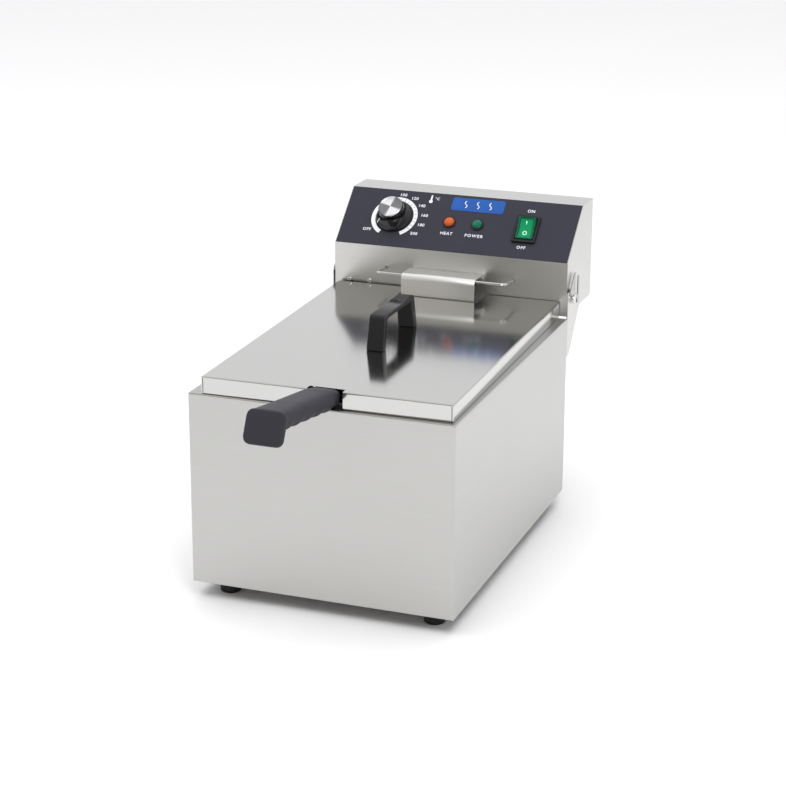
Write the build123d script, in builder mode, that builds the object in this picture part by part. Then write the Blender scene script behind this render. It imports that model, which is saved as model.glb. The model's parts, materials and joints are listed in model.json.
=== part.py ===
"""Small commercial deep fryer: stainless casing, lift-out tank, swing-back control head with its
heating element, loose pan lid and a wire basket hung on a rail.

Millimetres, +Z up. X is across the fryer, the front faces -Y, Z = 0 is the table.
"""
import os
from math import cos, radians, sin, tan

from build123d import *

os.makedirs("parts", exist_ok=True)

# ---- driving dimensions -------------------------------------------------------------------
WIDTH = 270.0            # casing, across
DEPTH = 370.0            # casing, front to back
FRONT = -168.4           # Y of the casing's front face
FOOT_H = 16.0            # height of the rubber feet
DECK_TOP = 211.0         # Z of the deck that the lid stands on
SHEET = 1.0              # stainless sheet thickness

LID_W = 252.6
LID_LENGTH = 365.7
LID_TOP = 228.4
LID_CLEAR = 0.4          # gap between the lid's skirt and the deck
LID_FRONT = FRONT + 4.0
LID_CENTRE_X = 4.4
LID_YAW = 0.84           # the loose lid lies a little askew, degrees

HEAD_W = 265.7
HEAD_FACE = FRONT + 372.8
HEAD_REAR = FRONT + 467.8
HEAD_BOTTOM = 212.2
HEAD_TOP = 321.2
PANEL_FOOT_Z = 270.8     # lower edge of the sloped panel
PANEL_HEAD_Y = FRONT + 429.3

PIVOT_Y = FRONT + 385.0  # axis of the swing-back head
PIVOT_Z = 229.0
PIN_R = 3.0
RUN_GAP = 0.05           # radial clearance of a running fit

RAIL_R = 1.5
RAIL_Y = FRONT + 342.8
RAIL_Z = 249.2
BASKET_X = 4.0           # the basket hangs a little right of the middle

HALF_W = WIDTH / 2
REAR = FRONT + DEPTH
HEAD_HALF = HEAD_W / 2


def save(part, name):
    """Label a finished piece and write it as its own STEP file."""
    part.label = name
    export_step(part, f"parts/{name}.step")


# ---- frame of the sloped panel: x across, y up the slope, z out of it -----------------------
slope_rise = HEAD_TOP - PANEL_FOOT_Z
slope_run = PANEL_HEAD_Y - HEAD_FACE
slope_len = (slope_rise**2 + slope_run**2) ** 0.5
PANEL = Plane(
    origin=(0, HEAD_FACE, PANEL_FOOT_Z),
    x_dir=(1, 0, 0),
    z_dir=(0, -slope_rise / slope_len, slope_run / slope_len),
)


def on_panel(x, up, out=0.0):
    """Plane parallel to the panel, at x across it, up along its slope and out from it."""
    return Plane(origin=PANEL.from_local_coords((x, up, out)), x_dir=(1, 0, 0), z_dir=PANEL.z_dir)


KNOB_X, KNOB_UP = -73.9, 39.3
LAMP_XS, LAMP_UP = (-9.7, 22.4), 38.0
SWITCH_X, SWITCH_UP = 78.0, 37.4
SWITCH_W, SWITCH_L = 26.4, 34.6      # bezel
WINDOW_W, WINDOW_L = 20.4, 27.6      # opening the rocker moves in
BEZEL_T = 2.8
OVERLAY_T = 0.5

# ======================= casing ==============================================================
casing_h = DECK_TOP - FOOT_H - SHEET

# Front and two sides folded from one sheet, open to the rear.
with BuildPart() as casing_wrap:
    with BuildSketch(Plane.XY.offset(FOOT_H)):
        with Locations((0, FRONT + DEPTH / 2)):
            Rectangle(WIDTH, DEPTH)
        with Locations((0, FRONT + DEPTH / 2 + SHEET)):
            Rectangle(WIDTH - 2 * SHEET, DEPTH, mode=Mode.SUBTRACT)
    extrude(amount=casing_h)
save(casing_wrap.part, "casing_wrap")

FLOOR_W = WIDTH - 2 * SHEET - 0.4
FOOT_X, FOOT_FRONT_Y, FOOT_REAR_Y = 107.0, FRONT + 27.0, REAR - 27.0
foot_points = [(x, y) for y in (FOOT_FRONT_Y, FOOT_REAR_Y) for x in (-FOOT_X, FOOT_X)]

with BuildPart() as casing_floor:
    with BuildSketch(Plane.XY.offset(FOOT_H)):
        with Locations((0, FRONT + DEPTH / 2)):
            Rectangle(FLOOR_W, DEPTH - 4)
            with GridLocations(22, 90, 7, 2):
                SlotOverall(70, 5, rotation=90, mode=Mode.SUBTRACT)
        with Locations(*foot_points):
            Circle(2.6, mode=Mode.SUBTRACT)
    extrude(amount=SHEET)
save(casing_floor.part, "casing_floor")

with BuildPart() as casing_rear_panel:
    with BuildSketch(Plane.XZ.offset(-REAR)):
        with Locations((0, FOOT_H + SHEET + (casing_h - SHEET) / 2)):
            Rectangle(WIDTH - 6.4, casing_h - SHEET - 0.4)
            with GridLocations(0, 12, 1, 6):
                SlotOverall(120, 4, mode=Mode.SUBTRACT)
    extrude(amount=SHEET)
save(casing_rear_panel.part, "casing_rear_panel")

TANK_X = 111.0           # half the tank's inner width
TANK_FRONT = FRONT + 26.0
TANK_REAR = FRONT + 358.0
TANK_FLOOR = 62.0
tank_mid = (TANK_FRONT + TANK_REAR) / 2
tank_len = TANK_REAR - TANK_FRONT

with BuildPart() as top_deck:
    with BuildSketch(Plane.XY.offset(DECK_TOP - SHEET)):
        with Locations((0, FRONT + DEPTH / 2)):
            RectangleRounded(WIDTH, DEPTH, 1.5)
        with Locations((0, tank_mid)):
            RectangleRounded(2 * TANK_X + 4, tank_len + 4, 22, mode=Mode.SUBTRACT)
    extrude(amount=SHEET)
    front_edge = top_deck.edges().filter_by(Axis.X).sort_by(Axis.Y)[0:2].sort_by(Axis.Z)[-1]
    fillet(front_edge, 0.8)
save(top_deck.part, "top_deck")

# Pressed pan with a flange that rests on the deck.
with BuildPart() as tank_inside:
    with BuildSketch(Plane.XY.offset(TANK_FLOOR)):
        with Locations((0, tank_mid)):
            RectangleRounded(2 * TANK_X, tank_len, 20)
    extrude(amount=DECK_TOP - TANK_FLOOR + 10)
    fillet(tank_inside.edges().group_by(Axis.Z)[0], 11)

with BuildPart() as oil_tank:
    with BuildSketch(Plane.XY.offset(TANK_FLOOR - SHEET)):
        with Locations((0, tank_mid)):
            RectangleRounded(2 * TANK_X + 2, tank_len + 2, 21)
    extrude(amount=DECK_TOP + SHEET - TANK_FLOOR + SHEET)
    fillet(oil_tank.edges().group_by(Axis.Z)[0], 12)
    with BuildSketch(Plane.XY.offset(DECK_TOP)):
        with Locations((0, tank_mid)):
            RectangleRounded(2 * TANK_X + 14, tank_len + 14, 26)
    extrude(amount=SHEET)
    add(tank_inside.part, mode=Mode.SUBTRACT)
save(oil_tank.part, "oil_tank")

foot_names = ("foot_front_left", "foot_front_right", "foot_rear_left", "foot_rear_right")
for foot_name, (foot_x, foot_y) in zip(foot_names, foot_points):
    with BuildPart() as foot:
        with BuildSketch(Plane.XY):
            with Locations((foot_x, foot_y)):
                Circle(10.2)
        with BuildSketch(Plane.XY.offset(FOOT_H)):
            with Locations((foot_x, foot_y)):
                Circle(11.2)
        loft()
        fillet(foot.edges().group_by(Axis.Z)[0], 1.5)
        with BuildSketch(Plane.XY):
            with Locations((foot_x, foot_y)):
                Circle(4.6)
        extrude(amount=8, mode=Mode.SUBTRACT)
        with BuildSketch(Plane.XY.offset(8)):
            with Locations((foot_x, foot_y)):
                Circle(2.6)
        extrude(amount=FOOT_H - 8, mode=Mode.SUBTRACT)
    save(foot.part, foot_name)

with BuildPart() as foot_screws:
    with BuildSketch(Plane.XY.offset(5)):
        with Locations(*foot_points):
            Circle(4.2)
    extrude(amount=3)
    with BuildSketch(Plane.XY.offset(8)):
        with Locations(*foot_points):
            Circle(2.5)
    extrude(amount=FOOT_H + SHEET + 5 - 8)
    with BuildSketch(Plane.XY.offset(FOOT_H + SHEET)):
        with Locations(*foot_points):
            RegularPolygon(4.6, 6)
    extrude(amount=4)
save(foot_screws.part, "foot_screws")

# ======================= pivot brackets =======================================================
EAR_T = 1.5
EAR_OUT = HALF_W - EAR_T


def side_plane(x):
    """Plane of constant x whose local axes are Y and Z."""
    return Plane(origin=(x, 0, 0), x_dir=(0, 1, 0), z_dir=(1, 0, 0))


sides = {"left": -1, "right": 1}

for side_name, side in sides.items():
    with BuildPart() as ear:
        with BuildSketch(side_plane(side * EAR_OUT)):
            with BuildLine():
                Polyline(
                    (PIVOT_Y - 8, PIVOT_Z + 10),
                    (REAR + 0.4, PIVOT_Z + 10),
                    (REAR + 0.4, 168),
                    (REAR + 9.5, 168.6),
                    (REAR + 46.5, 215),
                    (REAR + 45, 219),
                    (PIVOT_Y + 9, PIVOT_Z + 6),
                )
                ThreePointArc(
                    (PIVOT_Y + 9, PIVOT_Z + 6),
                    (PIVOT_Y, PIVOT_Z + 10.8),
                    (PIVOT_Y - 8, PIVOT_Z + 10),
                )
            make_face()
            with Locations((PIVOT_Y, PIVOT_Z)):
                Circle(PIN_R + RUN_GAP, mode=Mode.SUBTRACT)
        extrude(amount=side * EAR_T)
        with BuildSketch(side_plane(side * (HALF_W - SHEET - EAR_T))):
            with Locations((REAR - 9.8, 189)):
                Rectangle(24.4, 40)
        extrude(amount=side * EAR_T)
    save(ear.part, f"hinge_bracket_{side_name}")

# Stay on the outside of each bracket: a slanted strip and an upright bar on a common foot.
STAY_T = 1.2
for side_name, side in sides.items():
    with BuildPart() as stay:
        with BuildSketch(side_plane(side * HALF_W)):
            with BuildLine():
                Polyline(
                    (PIVOT_Y - 9, PIVOT_Z + 4.2),
                    (PIVOT_Y - 9, PIVOT_Z + 11),
                    (PIVOT_Y + 6, PIVOT_Z + 27),
                    (PIVOT_Y + 11, PIVOT_Z + 27),
                    (PIVOT_Y + 2, PIVOT_Z + 10),
                    (PIVOT_Y + 20, PIVOT_Z + 0),
                    (PIVOT_Y + 20, PIVOT_Z + 20.5),
                    (PIVOT_Y + 24, PIVOT_Z + 20.5),
                    (PIVOT_Y + 24, PIVOT_Z - 9),
                    (PIVOT_Y + 19, PIVOT_Z - 9),
                    (PIVOT_Y + 17, PIVOT_Z - 4),
                    (PIVOT_Y + 5, PIVOT_Z + 4.2),
                    (PIVOT_Y - 9, PIVOT_Z + 4.2),
                )
            make_face()
        extrude(amount=side * STAY_T)
    save(stay.part, f"head_stay_{side_name}")

# ======================= control head =========================================================


def head_outline(inset):
    """Side view of the head, moved in by inset at its face, slope and top."""
    corner = inset * (slope_len - slope_rise) / slope_run
    top_corner = inset * (slope_len - slope_run) / slope_rise
    return [
        (HEAD_FACE + inset, HEAD_BOTTOM - (5 if inset else 0)),
        (HEAD_FACE + inset, PANEL_FOOT_Z - corner),
        (PANEL_HEAD_Y + top_corner, HEAD_TOP - inset),
        (HEAD_REAR + (5 if inset else 0), HEAD_TOP - inset),
        (HEAD_REAR + (5 if inset else 0), HEAD_BOTTOM - (5 if inset else 0)),
    ]


ELEMENT_XS = (-80.0, 80.0)
ELEMENT_R = 4.0
ELEMENT_LEG_Y = FRONT + 350.0
BULB_XS = (-12.0, 16.0)
NECK_HALF, NECK_FRONT = 95.0, FRONT + 343.5
NECK_BOTTOM, NECK_TOP = 213.6, 225.4
DOME_XS, DOME_Z = (-115.2, -92.0), 230.2
RAIL_ROOT_Z = 247.0
RAIL_XS = (-73.0, 73.0)

with BuildPart() as head_housing:
    with BuildSketch(side_plane(-HEAD_HALF)):
        Polygon(*head_outline(0), align=None)
    extrude(amount=HEAD_W)
    with BuildSketch(side_plane(-HEAD_HALF + SHEET)):
        Polygon(*head_outline(SHEET), align=None)
    extrude(amount=HEAD_W - 2 * SHEET, mode=Mode.SUBTRACT)
    # cut-outs in the sloped face
    with BuildSketch(on_panel(KNOB_X, KNOB_UP, -3)):
        Circle(5.1)
    extrude(amount=6, mode=Mode.SUBTRACT)
    for lamp_x in LAMP_XS:
        with BuildSketch(on_panel(lamp_x, LAMP_UP, -3)):
            Circle(5.1)
        extrude(amount=6, mode=Mode.SUBTRACT)
    with BuildSketch(on_panel(SWITCH_X, SWITCH_UP, -3)):
        Rectangle(WINDOW_W + 2.2, WINDOW_L + 2.2)
    extrude(amount=6, mode=Mode.SUBTRACT)
    # opening to the neck, holes for the rail, the dome nuts and the pivot pins
    with BuildSketch(Plane.XZ.offset(-HEAD_FACE + 1)):
        with Locations((0, (NECK_BOTTOM + NECK_TOP) / 2)):
            Rectangle(2 * NECK_HALF - 2, NECK_TOP - NECK_BOTTOM - 2)
        with Locations(*[(x, RAIL_ROOT_Z) for x in RAIL_XS]):
            Circle(RAIL_R + 0.3)
        with Locations(*[(x, DOME_Z) for x in DOME_XS]):
            Circle(1.5)
    extrude(amount=-3, mode=Mode.SUBTRACT)
    with BuildSketch(side_plane(-HALF_W)):
        with Locations((PIVOT_Y, PIVOT_Z)):
            Circle(PIN_R)
    extrude(amount=WIDTH, mode=Mode.SUBTRACT)
save(head_housing.part, "head_housing")

GLAND_X, GLAND_Z, CORD_R = -88.0, 238.0, 3.6
RESET_X, RESET_Z = 70.0, 240.0
with BuildPart() as head_rear_cover:
    with BuildSketch(Plane.XZ.offset(-HEAD_REAR)):
        with Locations((0, (HEAD_BOTTOM + SHEET + HEAD_TOP - SHEET) / 2)):
            Rectangle(HEAD_W - 2 * SHEET, HEAD_TOP - HEAD_BOTTOM - 2 * SHEET)
        with Locations((0, 290)):
            with GridLocations(0, 9, 1, 4):
                SlotOverall(150, 4, mode=Mode.SUBTRACT)
        with Locations((GLAND_X, GLAND_Z)):
            Circle(8, mode=Mode.SUBTRACT)
        with Locations((RESET_X, RESET_Z)):
            Circle(6, mode=Mode.SUBTRACT)
    extrude(amount=SHEET)
save(head_rear_cover.part, "head_rear_cover")

HEAD_IN = HEAD_HALF - SHEET
with BuildPart() as head_floor_plate:
    with BuildSketch(Plane.XY.offset(HEAD_BOTTOM)):
        with Locations((0, (HEAD_FACE + HEAD_REAR) / 2)):
            Rectangle(2 * HEAD_IN, HEAD_REAR - HEAD_FACE - 2 * SHEET)
    extrude(amount=SHEET)
save(head_floor_plate.part, "head_floor_plate")

with BuildPart() as rear_cover_screws:
    rear_screws = [(x, z) for x in (-124, 0, 124) for z in (222, 313)]
    with BuildSketch(Plane.XZ.offset(-HEAD_REAR)):
        with Locations(*rear_screws):
            Circle(3)
    extrude(amount=-1.8)
save(rear_cover_screws.part, "rear_cover_screws")

# Matt overlay that carries the dial ring and the words.
with BuildPart() as control_panel:
    with BuildSketch(on_panel(0, slope_len / 2)):
        Rectangle(HEAD_W - 2, slope_len - 0.8)
        with Locations((KNOB_X, KNOB_UP - slope_len / 2)):
            Circle(5.1, mode=Mode.SUBTRACT)
        with Locations(*[(x, LAMP_UP - slope_len / 2) for x in LAMP_XS]):
            Circle(5.1, mode=Mode.SUBTRACT)
        with Locations((SWITCH_X, SWITCH_UP - slope_len / 2)):
            Rectangle(WINDOW_W + 2.2, WINDOW_L + 2.2, mode=Mode.SUBTRACT)
    extrude(amount=OVERLAY_T)
save(control_panel.part, "control_panel")

# Chrome rod bent forward from the face; the basket hangs on it.
with BuildPart() as hook_rail:
    with BuildLine() as rail_path:
        FilletPolyline(
            (RAIL_XS[0], HEAD_FACE + 2, RAIL_ROOT_Z - 0.3),
            (RAIL_XS[0], RAIL_Y, RAIL_Z),
            (RAIL_XS[1], RAIL_Y, RAIL_Z),
            (RAIL_XS[1], HEAD_FACE + 2, RAIL_ROOT_Z - 0.3),
            radius=6,
        )
    with BuildSketch(Plane(origin=rail_path.line @ 0, z_dir=rail_path.line % 0)):
        Circle(RAIL_R - 0.05)
    sweep()
save(hook_rail.part, "hook_rail")

with BuildPart() as dome_nuts:
    for dome_x in DOME_XS:
        with BuildSketch(Plane.XZ.offset(-HEAD_FACE)):
            with Locations((dome_x, DOME_Z)):
                Circle(3.2)
        extrude(amount=1.0)
        with BuildSketch(Plane.XZ.offset(-HEAD_FACE)):
            with Locations((dome_x, DOME_Z)):
                Circle(2.8)
        extrude(amount=2.2)
        with BuildSketch(Plane.XZ.offset(-HEAD_FACE)):
            with Locations((dome_x, DOME_Z)):
                Circle(1.45)
        extrude(amount=-4)
    fillet(dome_nuts.faces().group_by(Axis.Y)[0].edges(), 1.0)
save(dome_nuts.part, "dome_nuts")

for side_name, side in sides.items():
    with BuildPart() as pivot_pin:
        with BuildSketch(side_plane(side * (HEAD_HALF - 4))):
            with Locations((PIVOT_Y, PIVOT_Z)):
                Circle(PIN_R)
        extrude(amount=side * (HALF_W + STAY_T + 0.4 - HEAD_HALF + 4))
        with BuildSketch(side_plane(side * (HALF_W + STAY_T + 0.4))):
            with Locations((PIVOT_Y, PIVOT_Z)):
                Circle(4.6)
        extrude(amount=side * 1.6)
        with BuildSketch(side_plane(side * (HEAD_IN - 3))):
            with Locations((PIVOT_Y, PIVOT_Z)):
                RegularPolygon(5.5, 6)
        extrude(amount=side * 3)
    save(pivot_pin.part, f"pivot_pin_{side_name}")

# Flat box under the lid that carries the element over the tank's rim.
with BuildPart() as element_neck:
    with BuildSketch(Plane.XY.offset(NECK_BOTTOM)):
        with Locations((0, (NECK_FRONT + HEAD_FACE) / 2)):
            Rectangle(2 * NECK_HALF, HEAD_FACE - NECK_FRONT)
    extrude(amount=NECK_TOP - NECK_BOTTOM)
    with BuildSketch(Plane.XY.offset(NECK_BOTTOM + SHEET)):
        with Locations((0, (NECK_FRONT + HEAD_FACE) / 2 + SHEET)):
            Rectangle(2 * NECK_HALF - 2 * SHEET, HEAD_FACE - NECK_FRONT)
    extrude(amount=NECK_TOP - NECK_BOTTOM - 2 * SHEET, mode=Mode.SUBTRACT)
    with BuildSketch(Plane.XY.offset(NECK_BOTTOM)):
        with Locations(*[(x, ELEMENT_LEG_Y) for x in ELEMENT_XS]):
            Circle(ELEMENT_R)
        with Locations(*[(x, ELEMENT_LEG_Y) for x in BULB_XS]):
            Circle(3.0)
    extrude(amount=SHEET, mode=Mode.SUBTRACT)
save(element_neck.part, "element_neck")

ELEMENT_Z = 76.0
ELEMENT_FRONT = FRONT + 80.0
ELEMENT_TURN = FRONT + 280.0
with BuildPart() as heating_element:
    with BuildLine() as element_path:
        FilletPolyline(
            (-80, ELEMENT_LEG_Y, NECK_TOP - 3),
            (-80, ELEMENT_LEG_Y, ELEMENT_Z),
            (-80, ELEMENT_FRONT, ELEMENT_Z),
            (-27, ELEMENT_FRONT, ELEMENT_Z),
            (-27, ELEMENT_TURN, ELEMENT_Z),
            (27, ELEMENT_TURN, ELEMENT_Z),
            (27, ELEMENT_FRONT, ELEMENT_Z),
            (80, ELEMENT_FRONT, ELEMENT_Z),
            (80, ELEMENT_LEG_Y, ELEMENT_Z),
            (80, ELEMENT_LEG_Y, NECK_TOP - 3),
            radius=16,
        )
    with BuildSketch(Plane.XY.offset(NECK_TOP - 3)):
        with Locations((-80, ELEMENT_LEG_Y)):
            Circle(ELEMENT_R)
    sweep()
save(heating_element.part, "heating_element")

BULB_R, BULB_Z = 3.0, (88.0, 200.0)
for probe_name, probe_x in zip(("thermostat_bulb", "cutout_bulb"), BULB_XS):
    with BuildPart() as probe:
        with BuildSketch(Plane.XY.offset(BULB_Z[0])):
            with Locations((probe_x, ELEMENT_LEG_Y)):
                Circle(BULB_R)
        extrude(amount=BULB_Z[1] - BULB_Z[0])
        fillet(probe.edges().group_by(Axis.Z)[0], 2)
        with BuildSketch(Plane.XY.offset(BULB_Z[1])):
            with Locations((probe_x, ELEMENT_LEG_Y)):
                Circle(1.5)
        extrude(amount=NECK_BOTTOM - BULB_Z[1])
        with BuildSketch(Plane.XY.offset(NECK_BOTTOM)):
            with Locations((probe_x, ELEMENT_LEG_Y)):
                Circle(BULB_R)
        extrude(amount=6)
    save(probe.part, probe_name)

# Strap that ties the element's legs and the two probes together.
with BuildPart() as probe_strap:
    with BuildSketch(Plane.XY.offset(150)):
        with Locations((0, ELEMENT_LEG_Y)):
            Rectangle(176, 3)
            with Locations(*[(x, 0) for x in ELEMENT_XS]):
                Circle(ELEMENT_R + 1.5)
                Circle(ELEMENT_R, mode=Mode.SUBTRACT)
            with Locations(*[(x, 0) for x in BULB_XS]):
                Circle(BULB_R + 1.5)
                Circle(BULB_R, mode=Mode.SUBTRACT)
    extrude(amount=10)
save(probe_strap.part, "probe_strap")

# ---- what sits in the sloped panel -----------------------------------------------------------
SHAFT_R = 3.0
with BuildPart() as thermostat_body:
    with BuildSketch(on_panel(KNOB_X, KNOB_UP, -34)):
        RectangleRounded(38, 38, 4)
    extrude(amount=33 - SHEET + 0.9)
    with BuildSketch(on_panel(KNOB_X, KNOB_UP, -2)):
        Circle(5)
    extrude(amount=5.2)
    with BuildSketch(on_panel(KNOB_X, KNOB_UP, -16)):
        Circle(SHAFT_R + RUN_GAP)
    extrude(amount=30, mode=Mode.SUBTRACT)
save(thermostat_body.part, "thermostat_body")

for lamp_name, lamp_x in zip(("heat_lamp", "power_lamp"), LAMP_XS):
    with BuildPart() as lamp:
        with BuildSketch(on_panel(lamp_x, LAMP_UP, -22)):
            Circle(5)
        extrude(amount=22 + OVERLAY_T)
        with BuildSketch(on_panel(lamp_x, LAMP_UP, OVERLAY_T)):
            Circle(7.2)
        extrude(amount=1.2)
    save(lamp.part, f"{lamp_name}_body")
    with BuildPart() as lens:
        with BuildSketch(on_panel(lamp_x, LAMP_UP, OVERLAY_T + 1.2)):
            Circle(5.6)
        with BuildSketch(on_panel(lamp_x, LAMP_UP, OVERLAY_T + 4.4)):
            Circle(3.4)
        loft()
    save(lens.part, f"{lamp_name}_lens")

with BuildPart() as switch_housing:
    with BuildSketch(on_panel(SWITCH_X, SWITCH_UP, -20)):
        Rectangle(WINDOW_W + 2, WINDOW_L + 2)
    extrude(amount=20 + OVERLAY_T)
    with BuildSketch(on_panel(SWITCH_X, SWITCH_UP, OVERLAY_T)):
        RectangleRounded(SWITCH_W, SWITCH_L, 2)
    extrude(amount=BEZEL_T)
    with BuildSketch(on_panel(SWITCH_X, SWITCH_UP, -12)):
        Rectangle(WINDOW_W, WINDOW_L)
    extrude(amount=20, mode=Mode.SUBTRACT)
save(switch_housing.part, "switch_housing")

# Rocker, tipped by half its travel so that its lower end is pressed in.
ROCKER_TILT = 12.0
ROCKER_OUT = 2.0
ROCKER_HALF = WINDOW_L / 2 - 1.1
rocker_centre = on_panel(SWITCH_X, SWITCH_UP, ROCKER_OUT)
ROCKER_SIDE = Plane(origin=rocker_centre.origin, x_dir=PANEL.y_dir, z_dir=(-1, 0, 0))
with BuildPart() as switch_rocker:
    with BuildSketch(ROCKER_SIDE):
        with BuildLine():
            rocker_top = ThreePointArc((-ROCKER_HALF, 4.6), (0, 3.4), (ROCKER_HALF, 4.6))
            Polyline(
                rocker_top @ 1,
                (ROCKER_HALF, 1.0),
                (8, -6),
                (-8, -6),
                (-ROCKER_HALF, 1.0),
                rocker_top @ 0,
            )
        make_face()
    extrude(amount=WINDOW_W / 2 - 0.5, both=True)
rocker = switch_rocker.part.rotate(Axis(rocker_centre.origin, (1, 0, 0)), ROCKER_TILT)
save(rocker, "switch_rocker")

with BuildPart() as thermostat_shaft:
    with BuildSketch(on_panel(KNOB_X, KNOB_UP, -15)):
        Circle(SHAFT_R)
    extrude(amount=15 + 14)
save(thermostat_shaft.part, "thermostat_shaft")

KNOB_LOW, KNOB_SKIRT_R, KNOB_HEIGHT = 1.4, 20.4, 18.0
with BuildPart() as thermostat_knob:
    with BuildSketch(on_panel(KNOB_X, KNOB_UP, KNOB_LOW)):
        Circle(KNOB_SKIRT_R)
    extrude(amount=3.2)
    with BuildSketch(on_panel(KNOB_X, KNOB_UP, KNOB_LOW + 3.2)):
        Circle(16.5)
    with BuildSketch(on_panel(KNOB_X, KNOB_UP, KNOB_HEIGHT)):
        Circle(12.8)
    loft()
    with BuildSketch(on_panel(KNOB_X, KNOB_UP, KNOB_LOW)):
        Circle(6.5)
    extrude(amount=3, mode=Mode.SUBTRACT)
    with BuildSketch(on_panel(KNOB_X, KNOB_UP, KNOB_LOW)):
        Circle(SHAFT_R)
    extrude(amount=14 - KNOB_LOW, mode=Mode.SUBTRACT)
save(thermostat_knob.part, "thermostat_knob")

with BuildPart() as knob_cap:
    with BuildSketch(on_panel(KNOB_X, KNOB_UP, KNOB_HEIGHT)):
        Circle(13.6)
    extrude(amount=3)
    fillet(knob_cap.edges(), 0.6)
save(knob_cap.part, "knob_cap")

# ---- inside the head ------------------------------------------------------------------------
with BuildPart() as terminal_block:
    with BuildSketch(Plane.XY.offset(HEAD_BOTTOM + SHEET)):
        with Locations((-40, HEAD_FACE + 62)):
            Rectangle(56, 22)
    extrude(amount=18)
    with BuildSketch(Plane.XY.offset(HEAD_BOTTOM + SHEET + 8)):
        with Locations((-40, HEAD_FACE + 62)):
            with GridLocations(10, 16, 5, 2):
                Rectangle(7, 8)
    extrude(amount=12, mode=Mode.SUBTRACT)
save(terminal_block.part, "terminal_block")

RESET_R = 3.0
with BuildPart() as overheat_cutout:
    with BuildSketch(Plane.XZ.offset(-HEAD_REAR + SHEET)):
        with Locations((RESET_X, RESET_Z)):
            Rectangle(34, 30)
    extrude(amount=22)
    with BuildSketch(Plane.XZ.offset(-HEAD_REAR + SHEET)):
        with Locations((RESET_X, RESET_Z)):
            Circle(5.9)
    extrude(amount=-SHEET - 2)
    with BuildSketch(Plane.XZ.offset(-HEAD_REAR - 3)):
        with Locations((RESET_X, RESET_Z)):
            Circle(RESET_R + RUN_GAP)
    extrude(amount=16, mode=Mode.SUBTRACT)
save(overheat_cutout.part, "overheat_cutout")

with BuildPart() as reset_button:
    with BuildSketch(Plane.XZ.offset(-HEAD_REAR - 5)):
        with Locations((RESET_X, RESET_Z)):
            Circle(RESET_R)
    extrude(amount=12)
save(reset_button.part, "reset_button")

with BuildPart() as interlock_switch:
    with BuildSketch(Plane.XY.offset(HEAD_BOTTOM + SHEET)):
        with Locations((112, HEAD_FACE + 24)):
            Rectangle(12, 22)
    extrude(amount=28)
save(interlock_switch.part, "interlock_switch")

GLAND_LEN = 12.0
with BuildPart() as cable_gland:
    with BuildSketch(Plane.XZ.offset(-HEAD_REAR)):
        with Locations((GLAND_X, GLAND_Z)):
            RegularPolygon(11, 6)
    extrude(amount=-5)
    with BuildSketch(Plane.XZ.offset(-HEAD_REAR - 5)):
        with Locations((GLAND_X, GLAND_Z)):
            Circle(9)
    extrude(amount=5 - GLAND_LEN)
    with BuildSketch(Plane.XZ.offset(-HEAD_REAR)):
        with Locations((GLAND_X, GLAND_Z)):
            Circle(8)
    extrude(amount=9)
    with BuildSketch(Plane.XZ.offset(-HEAD_REAR + SHEET)):
        with Locations((GLAND_X, GLAND_Z)):
            RegularPolygon(11, 6)
    extrude(amount=4)
    with BuildSketch(Plane.XZ.offset(-HEAD_REAR - GLAND_LEN)):
        with Locations((GLAND_X, GLAND_Z)):
            Circle(CORD_R)
    extrude(amount=GLAND_LEN + 12, mode=Mode.SUBTRACT)
save(cable_gland.part, "cable_gland")

# ======================= lid ===================================================================
LID_PLANE = Plane(
    origin=(LID_CENTRE_X, LID_FRONT, 0),
    x_dir=(cos(radians(LID_YAW)), sin(radians(LID_YAW)), 0),
    z_dir=(0, 0, 1),
)
SKIRT_LOW = DECK_TOP + LID_CLEAR
GRIP_X = 3.4
NOTCH_X, NOTCH_W, NOTCH_DEEP = 4.0, 36.0, 8.0
HOOK_HALF = 41.4
HOOK_X = -1.0
HOOK_T = 1.2
HOOK_FACE_Y = RAIL_Y - 4.5               # rear face of the hook's front plate
HANDLE_Y = (FRONT + 134.0, FRONT + 234.0)
HANDLE_TOP_Y = (FRONT + 142.0, FRONT + 226.0)
HANDLE_H, HANDLE_W = 35.0, 18.0
HANDLE_X = 4.4
lid_screws = [(HANDLE_X, HANDLE_Y[0] + 5), (HANDLE_X, HANDLE_Y[1] - 5)]

with BuildPart() as lid_pan:
    with BuildSketch(LID_PLANE.offset(SKIRT_LOW)):
        with Locations((0, LID_LENGTH / 2)):
            Rectangle(LID_W, LID_LENGTH)
    extrude(amount=LID_TOP - SKIRT_LOW)
    top_edges = lid_pan.faces().sort_by(Axis.Z)[-1].edges().sort_by(Axis.Y)[0:3]
    fillet(top_edges, 1.6)
    with BuildSketch(LID_PLANE.offset(SKIRT_LOW)):
        with Locations((0, LID_LENGTH / 2 + SHEET)):
            Rectangle(LID_W - 2 * SHEET, LID_LENGTH)
    extrude(amount=LID_TOP - SKIRT_LOW - SHEET, mode=Mode.SUBTRACT)
    # front notch for the basket's grip, rear notch for its hook
    with BuildSketch(Plane.XY.offset(SKIRT_LOW)):
        with Locations((NOTCH_X, LID_FRONT)):
            Rectangle(NOTCH_W, 2 * NOTCH_DEEP)
        with Locations((HOOK_X, HOOK_FACE_Y + 24)):
            Rectangle(2 * HOOK_HALF + 8, 56)
    extrude(amount=40, mode=Mode.SUBTRACT)
    with BuildSketch(Plane.XY.offset(LID_TOP - 3)):
        with Locations(*lid_screws):
            Circle(2.1)
    extrude(amount=5, mode=Mode.SUBTRACT)
save(lid_pan.part, "lid_pan")

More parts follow.
